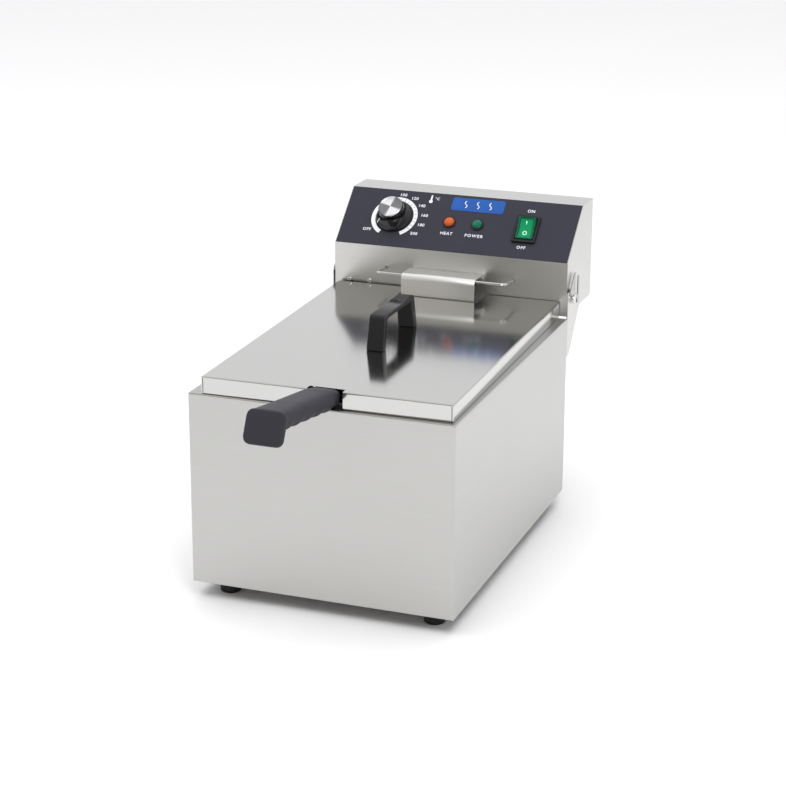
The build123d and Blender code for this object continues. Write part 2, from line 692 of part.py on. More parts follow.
with BuildPart() as lid_handle:
    with BuildSketch(side_plane(HANDLE_X - HANDLE_W / 2)):
        Polygon(
            (HANDLE_Y[0], LID_TOP),
            (HANDLE_TOP_Y[0], LID_TOP + HANDLE_H),
            (HANDLE_TOP_Y[1], LID_TOP + HANDLE_H),
            (HANDLE_Y[1], LID_TOP),
            align=None,
        )
        Polygon(
            (HANDLE_Y[0] + 9, LID_TOP - 1),
            (HANDLE_TOP_Y[0] + 7, LID_TOP + HANDLE_H - 5),
            (HANDLE_TOP_Y[1] - 7, LID_TOP + HANDLE_H - 5),
            (HANDLE_Y[1] - 9, LID_TOP - 1),
            align=None,
            mode=Mode.SUBTRACT,
        )
    extrude(amount=HANDLE_W)
    fillet(lid_handle.edges().filter_by(Axis.X).group_by(Axis.Z)[-1], 2.5)
    with BuildSketch(Plane.XY.offset(LID_TOP)):
        with Locations(*lid_screws):
            Circle(2.0)
    extrude(amount=8, mode=Mode.SUBTRACT)
save(lid_handle.part, "lid_handle")

with BuildPart() as lid_handle_screws:
    with BuildSketch(Plane.XY.offset(LID_TOP - SHEET)):
        with Locations(*lid_screws):
            Circle(4)
    extrude(amount=-2.2)
    with BuildSketch(Plane.XY.offset(LID_TOP - SHEET)):
        with Locations(*lid_screws):
            Circle(1.95)
    extrude(amount=8)
save(lid_handle_screws.part, "lid_handle_screws")

# ======================= basket ===============================================================
BASKET_HALF = 92.0
BASKET_FRONT = FRONT + 62.0
BASKET_REAR = HOOK_FACE_Y - HOOK_T
BASKET_Z = (94.0, 200.0)
WIRE_R = 2.0
RIM_Z = BASKET_Z[1]
basket_mid = (BASKET_FRONT + BASKET_REAR) / 2
basket_len = BASKET_REAR - BASKET_FRONT

# Thin-walled pan that stands for the woven mesh.
MESH_T = 1.6
inside_w = 2 * (BASKET_HALF - 2 * WIRE_R - MESH_T)
inside_len = basket_len - 4 * WIRE_R - 2 * MESH_T
with BuildPart() as basket_inside:
    with BuildSketch(Plane.XY.offset(BASKET_Z[0] + MESH_T)):
        with Locations((BASKET_X, basket_mid)):
            RectangleRounded(inside_w, inside_len, 14.4)
    extrude(amount=BASKET_Z[1] - BASKET_Z[0] + 5)
    fillet(basket_inside.edges().group_by(Axis.Z)[0], 6.5)

with BuildPart() as basket_mesh:
    with BuildSketch(Plane.XY.offset(BASKET_Z[0])):
        with Locations((BASKET_X, basket_mid)):
            RectangleRounded(2 * (BASKET_HALF - 2 * WIRE_R), basket_len - 4 * WIRE_R, 16)
    extrude(amount=BASKET_Z[1] - BASKET_Z[0] - WIRE_R)
    fillet(basket_mesh.edges().group_by(Axis.Z)[0], 8)
    add(basket_inside.part, mode=Mode.SUBTRACT)
save(basket_mesh.part, "basket_mesh")

# Rim wire.
RIM_LEFT, RIM_RIGHT = BASKET_X - BASKET_HALF + WIRE_R, BASKET_X + BASKET_HALF - WIRE_R
RIM_FRONT, RIM_REAR = BASKET_FRONT + WIRE_R, BASKET_REAR - WIRE_R
with BuildPart() as basket_rim:
    with BuildLine(Plane.XY.offset(RIM_Z)) as rim_path:
        FilletPolyline(
            (RIM_LEFT, RIM_FRONT),
            (RIM_LEFT, RIM_REAR),
            (RIM_RIGHT, RIM_REAR),
            (RIM_RIGHT, RIM_FRONT),
            radius=16,
            close=True,
        )
    with BuildSketch(Plane(origin=rim_path.line @ 0, z_dir=rim_path.line % 0)):
        Circle(WIRE_R)
    sweep()
save(basket_rim.part, "basket_rim")

# Plate that goes over the rail, with a short lip behind it.
HOOK_TOP = RAIL_Z + RAIL_R + 0.4 + HOOK_T
HOOK_BEND = 6.0
HOOK_BACK = FRONT + 371.0
HOOK_FALL = 0.8          # the plate's top drops this much towards the head
with BuildPart() as basket_hook:
    with BuildSketch(side_plane(HOOK_X - HOOK_HALF)):
        with BuildLine() as hook_line:
            FilletPolyline(
                (HOOK_FACE_Y - HOOK_T, 160),
                (HOOK_FACE_Y - HOOK_T, HOOK_TOP),
                (HOOK_BACK, HOOK_TOP - HOOK_FALL),
                (HOOK_BACK, HOOK_TOP - 9),
                radius=HOOK_BEND,
            )
            offset(amount=HOOK_T, side=Side.RIGHT, closed=True)
        make_face()
    extrude(amount=2 * HOOK_HALF)
save(basket_hook.part, "basket_hook")

# ---- grip ------------------------------------------------------------------------------------
GRIP_RISE = 8.7
GRIP_LEN = 139.1
GRIP_W, GRIP_T = 32.0, 20.5
GRIP_ROOT = (GRIP_X, FRONT + 8.0, 222.0)
grip_dir = (0, -cos(radians(GRIP_RISE)), sin(radians(GRIP_RISE)))
GRIP_END = Plane(origin=GRIP_ROOT, x_dir=(1, 0, 0), z_dir=grip_dir)
ROD_R, ROD_GAP = 2.5, 7.0
ROD_Z = 217.0
rod_xs = (GRIP_X - ROD_GAP, GRIP_X + ROD_GAP)
ROD_WALL_Y = BASKET_FRONT - ROD_R

with BuildPart() as handle_rods:
    for rod_x in rod_xs:
        with BuildLine() as rod_path:
            FilletPolyline(
                (rod_x, ROD_WALL_Y, 150),
                (rod_x, ROD_WALL_Y, ROD_Z),
                (rod_x, FRONT + 4, ROD_Z),
                (rod_x, FRONT - 50, ROD_Z + 54 * tan(radians(GRIP_RISE))),
                radius=8,
            )
        with BuildSketch(Plane(origin=rod_path.line @ 0, z_dir=rod_path.line % 0)):
            Circle(ROD_R)
        sweep()
save(handle_rods.part, "handle_rods")

FINGER_PITCH, FINGER_DEEP, FINGER_R = 25.0, 2.0, 30.0
FINGERS = 5
BLADE_TILT, BLADE_T, BLADE_W, BLADE_L = 26.7, 8.0, 37.5, 33.5
grip_tip = GRIP_END.from_local_coords((0, GRIP_T / 2, GRIP_LEN))
BLADE = Plane(
    origin=grip_tip,
    x_dir=(1, 0, 0),
    z_dir=(0, -cos(radians(BLADE_TILT)), sin(radians(BLADE_TILT))),
).offset(-BLADE_T)
GRIP_SIDE = Plane(origin=(GRIP_X, GRIP_ROOT[1], GRIP_ROOT[2]), x_dir=grip_dir, z_dir=(-1, 0, 0))
with BuildPart() as basket_grip:
    with BuildSketch(GRIP_END):
        RectangleRounded(GRIP_W, GRIP_T, 6)
    extrude(amount=GRIP_LEN - 3)
    # finger hollows along the underside
    with BuildSketch(GRIP_SIDE):
        with Locations((12, -GRIP_T / 2 + FINGER_DEEP - FINGER_R)):
            with Locations(*[(FINGER_PITCH * step, 0) for step in range(FINGERS)]):
                Circle(FINGER_R)
    extrude(amount=GRIP_W, both=True, mode=Mode.SUBTRACT)
    with BuildSketch(BLADE):
        with Locations((0, -BLADE_L / 2)):
            RectangleRounded(BLADE_W, BLADE_L, 6)
    extrude(amount=BLADE_T)
    add(handle_rods.part, mode=Mode.SUBTRACT)
save(basket_grip.part, "basket_grip")
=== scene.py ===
"""Deep fryer: finishes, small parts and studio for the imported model."""
import json
from math import cos, pi, radians, sin

import bpy
from bpy.props import FloatProperty, FloatVectorProperty, IntProperty, PointerProperty
from mathutils import Matrix, Vector


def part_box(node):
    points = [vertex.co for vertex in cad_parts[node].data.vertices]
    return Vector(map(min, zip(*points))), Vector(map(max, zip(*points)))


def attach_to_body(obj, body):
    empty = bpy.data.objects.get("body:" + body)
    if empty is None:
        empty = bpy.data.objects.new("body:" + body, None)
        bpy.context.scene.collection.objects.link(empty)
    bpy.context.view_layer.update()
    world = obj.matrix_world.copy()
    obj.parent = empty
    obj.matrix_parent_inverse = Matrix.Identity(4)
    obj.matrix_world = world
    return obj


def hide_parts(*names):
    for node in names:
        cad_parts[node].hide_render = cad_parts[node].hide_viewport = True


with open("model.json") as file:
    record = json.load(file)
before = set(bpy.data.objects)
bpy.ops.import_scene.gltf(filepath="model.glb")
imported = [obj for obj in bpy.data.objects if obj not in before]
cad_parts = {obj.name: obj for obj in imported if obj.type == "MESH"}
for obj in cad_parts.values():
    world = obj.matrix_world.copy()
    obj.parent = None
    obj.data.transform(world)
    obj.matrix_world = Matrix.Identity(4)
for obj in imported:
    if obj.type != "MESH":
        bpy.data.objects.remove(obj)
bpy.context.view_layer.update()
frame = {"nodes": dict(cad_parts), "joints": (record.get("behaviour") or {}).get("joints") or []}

bl_info = {
    "name": "Deep Fryer Builder",
    "version": (1, 0, 0),
    "blender": (4, 5, 0),
    "location": "3D View > Sidebar > Fryer",
    "description": "Finishes the deep fryer's model and sets up its studio",
    "category": "Add Mesh",
}

MM = 0.001
NODES = frame["nodes"]
JOINTS = {joint["name"]: joint for joint in frame["joints"]}

# ---- frame of the sloped control panel ----
ACROSS = Vector((1, 0, 0))
OUT = -Vector(JOINTS["knob_turn"]["axis"])
UP_SLOPE = OUT.cross(ACROSS)
KNOB_AT = (-73.9 * MM, 39.3 * MM)
KNOB_PIVOT_OUT = 10 * MM
PANEL_ORIGIN = (
    Vector(JOINTS["knob_turn"]["pos_m"])
    - OUT * KNOB_PIVOT_OUT
    - UP_SLOPE * KNOB_AT[1]
    - ACROSS * KNOB_AT[0]
)
FILM = 0.5 * MM              # thickness of the panel's film
PRINT_LIFT = 0.06 * MM       # print stands this far off the film


def panel_place(x, up, out=0.0):
    """Matrix whose X runs across the panel, Y up its slope and Z out of it."""
    place = Matrix((ACROSS, UP_SLOPE, OUT)).transposed().to_4x4()
    place.translation = PANEL_ORIGIN + ACROSS * x + UP_SLOPE * up + OUT * out
    return place


def middle(node):
    """Centre of a node's box."""
    low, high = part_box(node)
    return (low + high) / 2


# ---- mesh helpers ----


def make_object(name, verts, faces, material, smooth=True):
    """New mesh object in the scene."""
    mesh = bpy.data.meshes.new(name)
    mesh.from_pydata([tuple(v) for v in verts], [], faces)
    mesh.validate()
    mesh.polygons.foreach_set("use_smooth", [smooth] * len(mesh.polygons))
    mesh.materials.append(material)
    piece = bpy.data.objects.new(name, mesh)
    bpy.context.scene.collection.objects.link(piece)
    return piece


def join_parts(parts):
    """Several (verts, faces) as one."""
    verts, faces = [], []
    for part_verts, part_faces in parts:
        start = len(verts)
        verts.extend(part_verts)
        faces.extend([tuple(start + i for i in face) for face in part_faces])
    return verts, faces


def loft(rings, caps=True):
    """Skin over closed rings that all have the same number of points."""
    count = len(rings[0])
    verts = [point for ring in rings for point in ring]
    faces = []
    for row in range(len(rings) - 1):
        for i in range(count):
            j = (i + 1) % count
            faces.append((row * count + i, row * count + j, (row + 1) * count + j, (row + 1) * count + i))
    if caps:
        faces.append(tuple(reversed(range(count))))
        faces.append(tuple(range((len(rings) - 1) * count, len(rings) * count)))
    return verts, faces


def tube(points, radius, sides=8, closed=False):
    """Round wire along a list of points."""
    points = [Vector(p) for p in points]
    count = len(points)
    rings = []
    normal = None
    for i, point in enumerate(points):
        before = points[i - 1] if (i or closed) else point
        after = points[(i + 1) % count] if (i < count - 1 or closed) else point
        along = (after - before).normalized()
        if normal is None:
            normal = along.orthogonal().normalized()
        normal = (normal - along * normal.dot(along)).normalized()
        side = along.cross(normal)
        rings.append(
            [
                point + (normal * cos(2 * pi * k / sides) + side * sin(2 * pi * k / sides)) * radius
                for k in range(sides)
            ]
        )
    if closed:
        rings.append(rings[0])
    return loft(rings, caps=not closed)


def revolve(profile, segments=64, wave=None):
    """Turn a (radius, height) profile round Z. wave(row, angle) may add to the radius."""
    rings = []
    for row, (radius, height) in enumerate(profile):
        ring = []
        for k in range(segments):
            angle = 2 * pi * k / segments
            reach = radius + (wave(row, angle) if wave else 0)
            ring.append(Vector((reach * cos(angle), reach * sin(angle), height)))
        rings.append(ring)
    return loft(rings)


def rounded_outline(width, length, radius, steps=6):
    """Points of a rounded rectangle around the origin."""
    points = []
    corners = ((1, 1, 0), (-1, 1, 90), (-1, -1, 180), (1, -1, 270))
    for sx, sy, start in corners:
        centre = Vector((sx * (width / 2 - radius), sy * (length / 2 - radius), 0))
        for k in range(steps + 1):
            angle = radians(start + 90 * k / steps)
            points.append(centre + Vector((cos(angle), sin(angle), 0)) * radius)
    return points


def slab(outline, bottom, top):
    """Outline raised from one height to another."""
    return loft([[p + Vector((0, 0, z)) for p in outline] for z in (bottom, top)])


def flat_ring(inner, outer, start, end, steps=90):
    """Part of a flat ring; angles are clockwise from straight up, in degrees."""
    verts, faces = [], []
    for k in range(steps + 1):
        angle = radians(start + (end - start) * k / steps)
        for radius in (inner, outer):
            verts.append(Vector((radius * sin(angle), radius * cos(angle), 0)))
    for k in range(steps):
        faces.append((2 * k, 2 * k + 2, 2 * k + 3, 2 * k + 1))
    return verts, faces


def add_bevel(piece, width, segments=2, angle=40):
    """Small rounded edges, which catch the light, on faces cleared of their triangles."""
    weld = piece.modifiers.new("Weld", "WELD")
    weld.merge_threshold = 1e-6
    flatten = piece.modifiers.new("Flatten", "DECIMATE")
    flatten.decimate_type = "DISSOLVE"
    flatten.angle_limit = radians(0.5)
    bevel = piece.modifiers.new("Bevel", "BEVEL")
    bevel.width = width
    bevel.segments = segments
    bevel.limit_method = "ANGLE"
    bevel.angle_limit = radians(angle)
    bevel.harden_normals = True
    bevel.use_clamp_overlap = True


def bake_modifiers(piece):
    """Keep the mesh that the modifiers give, and drop them."""
    graph = bpy.context.evaluated_depsgraph_get()
    mesh = bpy.data.meshes.new_from_object(piece.evaluated_get(graph))
    piece.modifiers.clear()
    piece.data = mesh


def attach(piece, body, slot, *replaced):
    """Ride on a body and stand for CAD nodes; slot is not used."""
    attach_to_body(piece, body)
    if replaced:
        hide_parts(*replaced)


def finish_nodes(material, *names, bevel=0.0):
    """Give CAD nodes their finish, and soft edges where asked."""
    for name in names:
        node = NODES[name]
        node.data.materials.clear()
        node.data.materials.append(material)
        if bevel:
            add_bevel(node, bevel)


# ---- shader groups ----


def new_group(name, inputs, outputs):
    """Empty shader group; inputs are (name, type, default), outputs (name, type)."""
    group = bpy.data.node_groups.new(name, "ShaderNodeTree")
    for title, kind, value in inputs:
        socket = group.interface.new_socket(name=title, in_out="INPUT", socket_type=kind)
        socket.default_value = value
    for title, kind in outputs:
        group.interface.new_socket(name=title, in_out="OUTPUT", socket_type=kind)
    start = group.nodes.new("NodeGroupInput")
    end = group.nodes.new("NodeGroupOutput")
    return group, start, end


def math_node(tree, operation, first, second):
    """Maths on two sockets or numbers."""
    node = tree.nodes.new("ShaderNodeMath")
    node.operation = operation
    for socket, value in zip(node.inputs, (first, second)):
        if isinstance(value, (int, float)):
            socket.default_value = value
        else:
            tree.links.new(value, socket)
    return node.outputs[0]


def noise_node(tree, vector, scale, detail=2.0):
    """Noise at a place, as a value socket."""
    node = tree.nodes.new("ShaderNodeTexNoise")
    node.inputs["Detail"].default_value = detail
    tree.links.new(vector, node.inputs["Vector"])
    if isinstance(scale, (int, float)):
        node.inputs["Scale"].default_value = scale
    else:
        tree.links.new(scale, node.inputs["Scale"])
    return node.outputs["Fac"]


def mix_colour(tree, factor, first, second):
    """Mix two colour sockets or colours."""
    node = tree.nodes.new("ShaderNodeMix")
    node.data_type = "RGBA"
    for socket, value in ((node.inputs[0], factor), (node.inputs[6], first), (node.inputs[7], second)):
        if isinstance(value, (int, float, tuple)):
            socket.default_value = value
        else:
            tree.links.new(value, socket)
    return node.outputs[2]


def brushed_grain_group():
    """Grain lines of brushed steel with faint handling marks."""
    group, start, end = new_group(
        "Brushed Grain",
        [
            ("Colour", "NodeSocketColor", (0.6, 0.6, 0.6, 1)),
            ("Stretch", "NodeSocketVector", (4, 4, 700)),
            ("Roughness", "NodeSocketFloat", 0.3),
            ("Spread", "NodeSocketFloat", 0.05),
            ("Tone", "NodeSocketFloat", 0.06),
        ],
        [("Colour", "NodeSocketColor"), ("Roughness", "NodeSocketFloat"), ("Height", "NodeSocketFloat")],
    )
    place = group.nodes.new("ShaderNodeTexCoord").outputs["Object"]
    stretched = group.nodes.new("ShaderNodeVectorMath")
    stretched.operation = "MULTIPLY"
    group.links.new(place, stretched.inputs[0])
    group.links.new(start.outputs["Stretch"], stretched.inputs[1])
    grain = noise_node(group, stretched.outputs[0], 1.0, 3.0)
    marks = noise_node(group, place, 9.0, 3.0)
    shift = math_node(group, "SUBTRACT", math_node(group, "ADD", grain, marks), 1.0)
    wander = math_node(group, "MULTIPLY", shift, start.outputs["Spread"])
    group.links.new(math_node(group, "ADD", start.outputs["Roughness"], wander), end.inputs["Roughness"])
    darker = group.nodes.new("ShaderNodeHueSaturation")
    group.links.new(start.outputs["Colour"], darker.inputs["Color"])
    loss = math_node(group, "MULTIPLY", grain, start.outputs["Tone"])
    group.links.new(math_node(group, "SUBTRACT", 1.0, loss), darker.inputs["Value"])
    group.links.new(darker.outputs[0], end.inputs["Colour"])
    group.links.new(grain, end.inputs["Height"])
    return group


def moulded_skin_group():
    """Fine texture and faint tone changes of moulded plastic or rubber."""
    group, start, end = new_group(
        "Moulded Skin",
        [
            ("Colour", "NodeSocketColor", (0.05, 0.05, 0.05, 1)),
            ("Scale", "NodeSocketFloat", 900.0),
            ("Roughness", "NodeSocketFloat", 0.5),
            ("Spread", "NodeSocketFloat", 0.08),
            ("Tone", "NodeSocketFloat", 0.2),
        ],
        [("Colour", "NodeSocketColor"), ("Roughness", "NodeSocketFloat"), ("Height", "NodeSocketFloat")],
    )
    place = group.nodes.new("ShaderNodeTexCoord").outputs["Object"]
    grain = noise_node(group, place, start.outputs["Scale"], 2.0)
    cloud = noise_node(group, place, 30.0, 2.0)
    shift = math_node(group, "SUBTRACT", cloud, 0.5)
    wander = math_node(group, "MULTIPLY", shift, start.outputs["Spread"])
    group.links.new(math_node(group, "ADD", start.outputs["Roughness"], wander), end.inputs["Roughness"])
    darker = group.nodes.new("ShaderNodeHueSaturation")
    group.links.new(start.outputs["Colour"], darker.inputs["Color"])
    loss = math_node(group, "MULTIPLY", cloud, start.outputs["Tone"])
    group.links.new(math_node(group, "SUBTRACT", 1.0, loss), darker.inputs["Value"])
    group.links.new(darker.outputs[0], end.inputs["Colour"])
    group.links.new(grain, end.inputs["Height"])
    return group


def spun_face_painted_highlight_group():
    """Painted highlight and painted shade sectors, standing in for the reflections on a face turned on a
    lathe, round the piece's own Z; the fine rings are real grooves.
    """
    group, start, end = new_group(
        "Spun Face Painted Highlights",
        [
            ("Bright", "NodeSocketColor", (0.9, 0.9, 0.9, 1)),
            ("Grey", "NodeSocketColor", (0.4, 0.4, 0.4, 1)),
            ("Turn", "NodeSocketFloat", 1.0),
            ("Roughness", "NodeSocketFloat", 0.25),
        ],
        [("Colour", "NodeSocketColor"), ("Roughness", "NodeSocketFloat"), ("Height", "NodeSocketFloat")],
    )
    place = group.nodes.new("ShaderNodeTexCoord").outputs["Object"]
    split = group.nodes.new("ShaderNodeSeparateXYZ")
    group.links.new(place, split.inputs[0])
    angle = math_node(group, "ARCTAN2", split.outputs["Y"], split.outputs["X"])
    turned = math_node(group, "ADD", math_node(group, "MULTIPLY", angle, 2.0), start.outputs["Turn"])
    wave = math_node(group, "COSINE", turned, 0.0)
    around = group.nodes.new("ShaderNodeCombineXYZ")
    group.links.new(angle, around.inputs[0])
    streaks = noise_node(group, around.outputs[0], 5.0, 4.0)
    contrast, bias, grooves = 1.8, 0.15, 22000.0
    # painted highlight where the wave and streaks rise, painted shade where they fall
    shade = math_node(group, "ADD", math_node(group, "MULTIPLY", wave, contrast), streaks)
    shade = math_node(group, "SUBTRACT", shade, bias)
    edge = group.nodes.new("ShaderNodeClamp")
    group.links.new(shade, edge.inputs[0])
    colour = mix_colour(group, edge.outputs[0], start.outputs["Grey"], start.outputs["Bright"])
    group.links.new(colour, end.inputs["Colour"])
    wander = math_node(group, "MULTIPLY", streaks, 0.1)
    group.links.new(math_node(group, "ADD", start.outputs["Roughness"], wander), end.inputs["Roughness"])
    radius = group.nodes.new("ShaderNodeVectorMath")
    radius.operation = "LENGTH"
    group.links.new(place, radius.inputs[0])
    rings = math_node(group, "SINE", math_node(group, "MULTIPLY", radius.outputs["Value"], grooves), 0.0)
    group.links.new(rings, end.inputs["Height"])
    return group


GROUPS = {
    "brushed": brushed_grain_group(),
    "moulded": moulded_skin_group(),
    "spun": spun_face_painted_highlight_group(),
}


# ---- materials ----


def finish_from_group(name, group, values, bump, metallic=0.0):
    """Material whose colour, roughness and bump come from a shared group."""
    material = bpy.data.materials.new(name)
    material.use_nodes = True
    tree = material.node_tree
    shader = tree.nodes["Principled BSDF"]
    shader.inputs["Metallic"].default_value = metallic
    node = tree.nodes.new("ShaderNodeGroup")
    node.node_tree = GROUPS[group]
    for title, value in values.items():
        node.inputs[title].default_value = value
    tree.links.new(node.outputs["Colour"], shader.inputs["Base Color"])
    tree.links.new(node.outputs["Roughness"], shader.inputs["Roughness"])
    relief = tree.nodes.new("ShaderNodeBump")
    relief.inputs["Strength"].default_value = bump
    relief.inputs["Distance"].default_value = 0.0002
    tree.links.new(node.outputs["Height"], relief.inputs["Height"])
    tree.links.new(relief.outputs[0], shader.inputs["Normal"])
    return material, shader


def steel(name, colour, roughness, stretch, spread=0.05, tone=0.06, bump=0.05):
    """Brushed or polished stainless steel."""
    values = {
        "Colour": (*colour, 1),
        "Stretch": stretch,
        "Roughness": roughness,
        "Spread": spread,
        "Tone": tone,
    }
    return finish_from_group(name, "brushed", values, bump, metallic=1.0)[0]


def plastic(name, colour, roughness, scale=900.0, bump=0.06, tone=0.2, shine=0.35):
    """Moulded plastic, film or rubber."""
    values = {"Colour": (*colour, 1), "Scale": scale, "Roughness": roughness, "Tone": tone}
    material, shader = finish_from_group(name, "moulded", values, bump)
    shader.inputs["Specular IOR Level"].default_value = shine
    return material


def lens_plastic(name, colour, painted_glow=0.0, gloss=0.5, roughness=0.12):
    """Tinted plastic with a faint painted glow, emission standing in for light through the plastic; gloss is
    its clear coat.
    """
    values = {"Colour": (*colour, 1), "Scale": 300.0, "Roughness": roughness, "Tone": 0.35}
    material, shader = finish_from_group(name, "moulded", values, 0.02)
    shader.inputs["Specular IOR Level"].default_value = 0.15
    shader.inputs["Coat Weight"].default_value = gloss
    shader.inputs["Coat Roughness"].default_value = 0.03
    shader.inputs["Emission Color"].default_value = (*colour, 1)
    shader.inputs["Emission Strength"].default_value = painted_glow
    return material


def spun_aluminium(name, bright, grey):
    """Face turned on a lathe: its painted highlights run out from the centre."""
    values = {"Bright": (*bright, 1), "Grey": (*grey, 1), "Turn": CAP_HIGHLIGHT_TURN, "Roughness": 0.2}
    return finish_from_group(name, "spun", values, 0.003, metallic=1.0)[0]


CAP_HIGHLIGHT_TURN = radians(118)          # where the cap's painted highlight sectors lie
CASING_PAINTED_SHADE, HEAD_PAINTED_LIGHT = 0.89, 1.1    # painted shade on the casing's copy of the steel, painted light on the head's; the sheet is the same
ACROSS_GRAIN = (5, 5, 900)       # lines run level on upright faces
LID_GRAIN = (6, 900, 6)          # lines run across the lid
FINE = (300, 300, 300)


def shaded(colour, shade):
    """Colour made darker or brighter."""
    return tuple(shade * part for part in colour)


def build_materials(colours):
    """All the fryer's finishes by name."""
    steel_colour = tuple(colours.steel)
    dark_print = (0.02, 0.02, 0.024)
    return {
        # casing and head are copies of one steel, told apart only by painted shade and painted light
        "casing": steel("Casing steel painted darker", shaded(steel_colour, CASING_PAINTED_SHADE), 0.34, ACROSS_GRAIN),
        "head": steel("Head steel painted brighter", shaded(steel_colour, HEAD_PAINTED_LIGHT), 0.36, ACROSS_GRAIN),
        "lid": steel("Lid steel", steel_colour, 0.12, LID_GRAIN, spread=0.04, bump=0.008),
        "tank": steel("Tank steel", steel_colour, 0.4, FINE, bump=0.02),
        # the hook plate's near-white colour is a painted highlight, for the light on its bend
        "hook": steel("Hook plate steel painted bright", (0.97, 0.97, 0.95), 0.36, (6, 900, 900)),
        "bright": steel("Bright steel", (0.72, 0.72, 0.72), 0.16, FINE, bump=0.01),
        "stay": steel("Stay steel", (0.4, 0.4, 0.4), 0.2, FINE, bump=0.01),
        "chrome": steel("Chrome wire", (0.75, 0.75, 0.76), 0.09, FINE, bump=0.01, spread=0.03),
        "element": steel("Heater tube", (0.2, 0.2, 0.22), 0.42, FINE, tone=0.3),
        "rubber": plastic("Black rubber", (0.012, 0.012, 0.012), 0.6, scale=500),
        "film": plastic(
            "Panel film", tuple(colours.panel), 0.5, scale=1500, bump=0.05, tone=0.1, shine=0.1
        ),
        "knob": plastic("Knob black", (0.004, 0.004, 0.005), 0.12, scale=200, bump=0.01, shine=0.5),
        # the cap's bright and grey sectors are painted highlight and painted shade
        "cap": spun_aluminium("Spun aluminium with painted highlights", (0.95, 0.95, 0.96), (0.25, 0.25, 0.26)),
        "switch": plastic("Switch black", (0.008, 0.008, 0.009), 0.35),
        "inner": plastic("Inner plastic", (0.5, 0.48, 0.42), 0.5),
        "red": plastic("Reset red", (0.5, 0.03, 0.03), 0.3, shine=0.5),
        "handle": plastic("Handle black", (0.01, 0.01, 0.012), 0.16, scale=400, bump=0.02, shine=0.4),
        "grip": plastic(
            "Grip plastic", tuple(colours.grip), 0.5, scale=1400, bump=0.12, tone=0.15, shine=0.22
        ),
        # the lenses' and rocker's glow is painted light coming through the tinted plastic
        "orange": lens_plastic("Orange lens", (0.55, 0.09, 0.012), painted_glow=0.1),
        "green": lens_plastic("Green lens", (0.0, 0.13, 0.07), painted_glow=0.05),
        "rocker": lens_plastic("Rocker green", (0.0, 0.2, 0.07), painted_glow=0.3, gloss=0.0, roughness=0.5),
        "rocker_rim": lens_plastic(
            "Rocker rim green", (0.004, 0.1, 0.05), painted_glow=0.1, gloss=0.1, roughness=0.3
        ),
        "rocker_mark": plastic("Rocker mark", (0.6, 0.95, 0.75), 0.5),
        "print": plastic("White print", (0.72, 0.73, 0.78), 0.5, tone=0.05),
        "dark_print": plastic("Dark print", dark_print, 0.5),
        "badge": plastic("Badge blue", (0.012, 0.1, 0.42), 0.35, scale=20, tone=0.55, shine=0.2),
        "seam": plastic("Seam shadow", (0.02, 0.02, 0.02), 0.7),
    }


MATERIALS = {}


# ---- settings ----


class FryerSizes(bpy.types.PropertyGroup):
    """Sizes of the pieces that are made here."""

    wire: FloatProperty(
        name="Mesh wire", description="Thickness of the basket's woven wire", default=1.0 * MM, unit="LENGTH"
    )
    mesh_pitch: FloatProperty(
        name="Mesh pitch", description="Spacing of the basket's wires", default=8.0 * MM, unit="LENGTH"
    )
    edge: FloatProperty(
        name="Sheet edge", description="Rounding of the sheet's folds", default=0.45 * MM, unit="LENGTH"
    )
    grip_rise: FloatProperty(
        name="Grip rise",
        description="How steeply the basket's grip climbs outwards",
        default=radians(8.7),
        subtype="ANGLE",
    )
    grip_length: FloatProperty(
        name="Grip length", description="From its root to the end blade", default=139.1 * MM, unit="LENGTH"
    )
    finger_depth: FloatProperty(
        name="Finger hollows",
        description="Depth of the hollows under the grip",
        default=2.2 * MM,
        unit="LENGTH",
    )
    finger_pitch: FloatProperty(
        name="Finger pitch", description="Spacing of the hollows", default=25 * MM, unit="LENGTH"
    )
    dial_radius: FloatProperty(
        name="Dial ring", description="Outer radius of the printed ring", default=26.2 * MM, unit="LENGTH"
    )
    dial_width: FloatProperty(
        name="Dial ring width", description="Width of the printed ring", default=4.6 * MM, unit="LENGTH"
    )
    cap_teeth: IntProperty(name="Cap teeth", description="Flutes round the knob's cap", default=44)


class FryerColours(bpy.types.PropertyGroup):
    """Colours of the main finishes."""

    steel: FloatVectorProperty(
        name="Steel", description="Stainless sheet", subtype="COLOR", default=(0.6, 0.598, 0.58)
    )
    panel: FloatVectorProperty(
        name="Panel", description="Film on the control panel", subtype="COLOR", default=(0.033, 0.033, 0.047)
    )
    grip: FloatVectorProperty(
        name="Grip", description="Basket grip's plastic", subtype="COLOR", default=(0.026, 0.026, 0.034)
    )


# ---- studio ----

CAMERA_AT = Vector((0.7196, -1.9147, 0.8526))
CAMERA_AZIMUTH, CAMERA_ELEVATION, CAMERA_ROLL = radians(20.3), radians(18.35), radians(0.17)
CAMERA_LENS = 97.8
ROOM_FRONT = (0.47, 0.45, 0.41)
ROOM_BACK = (1.0, 1.0, 1.02)
ROOM_LEVEL = 0.95
ROOM_RISE = 0.75                 # how far height counts as lying behind
FLOOR_REACH = 15.0


def area_light(name, place, target, size, power, mirrored=True):
    """Soft square light aimed at a point; it may be kept out of reflections."""
    data = bpy.data.lights.new(name, "AREA")
    data.size = size
    data.energy = power
    lamp = bpy.data.objects.new(name, data)
    lamp.location = place
    lamp.rotation_euler = (Vector(target) - Vector(place)).to_track_quat("-Z", "Y").to_euler()
    lamp.visible_glossy = mirrored
    bpy.context.scene.collection.objects.link(lamp)


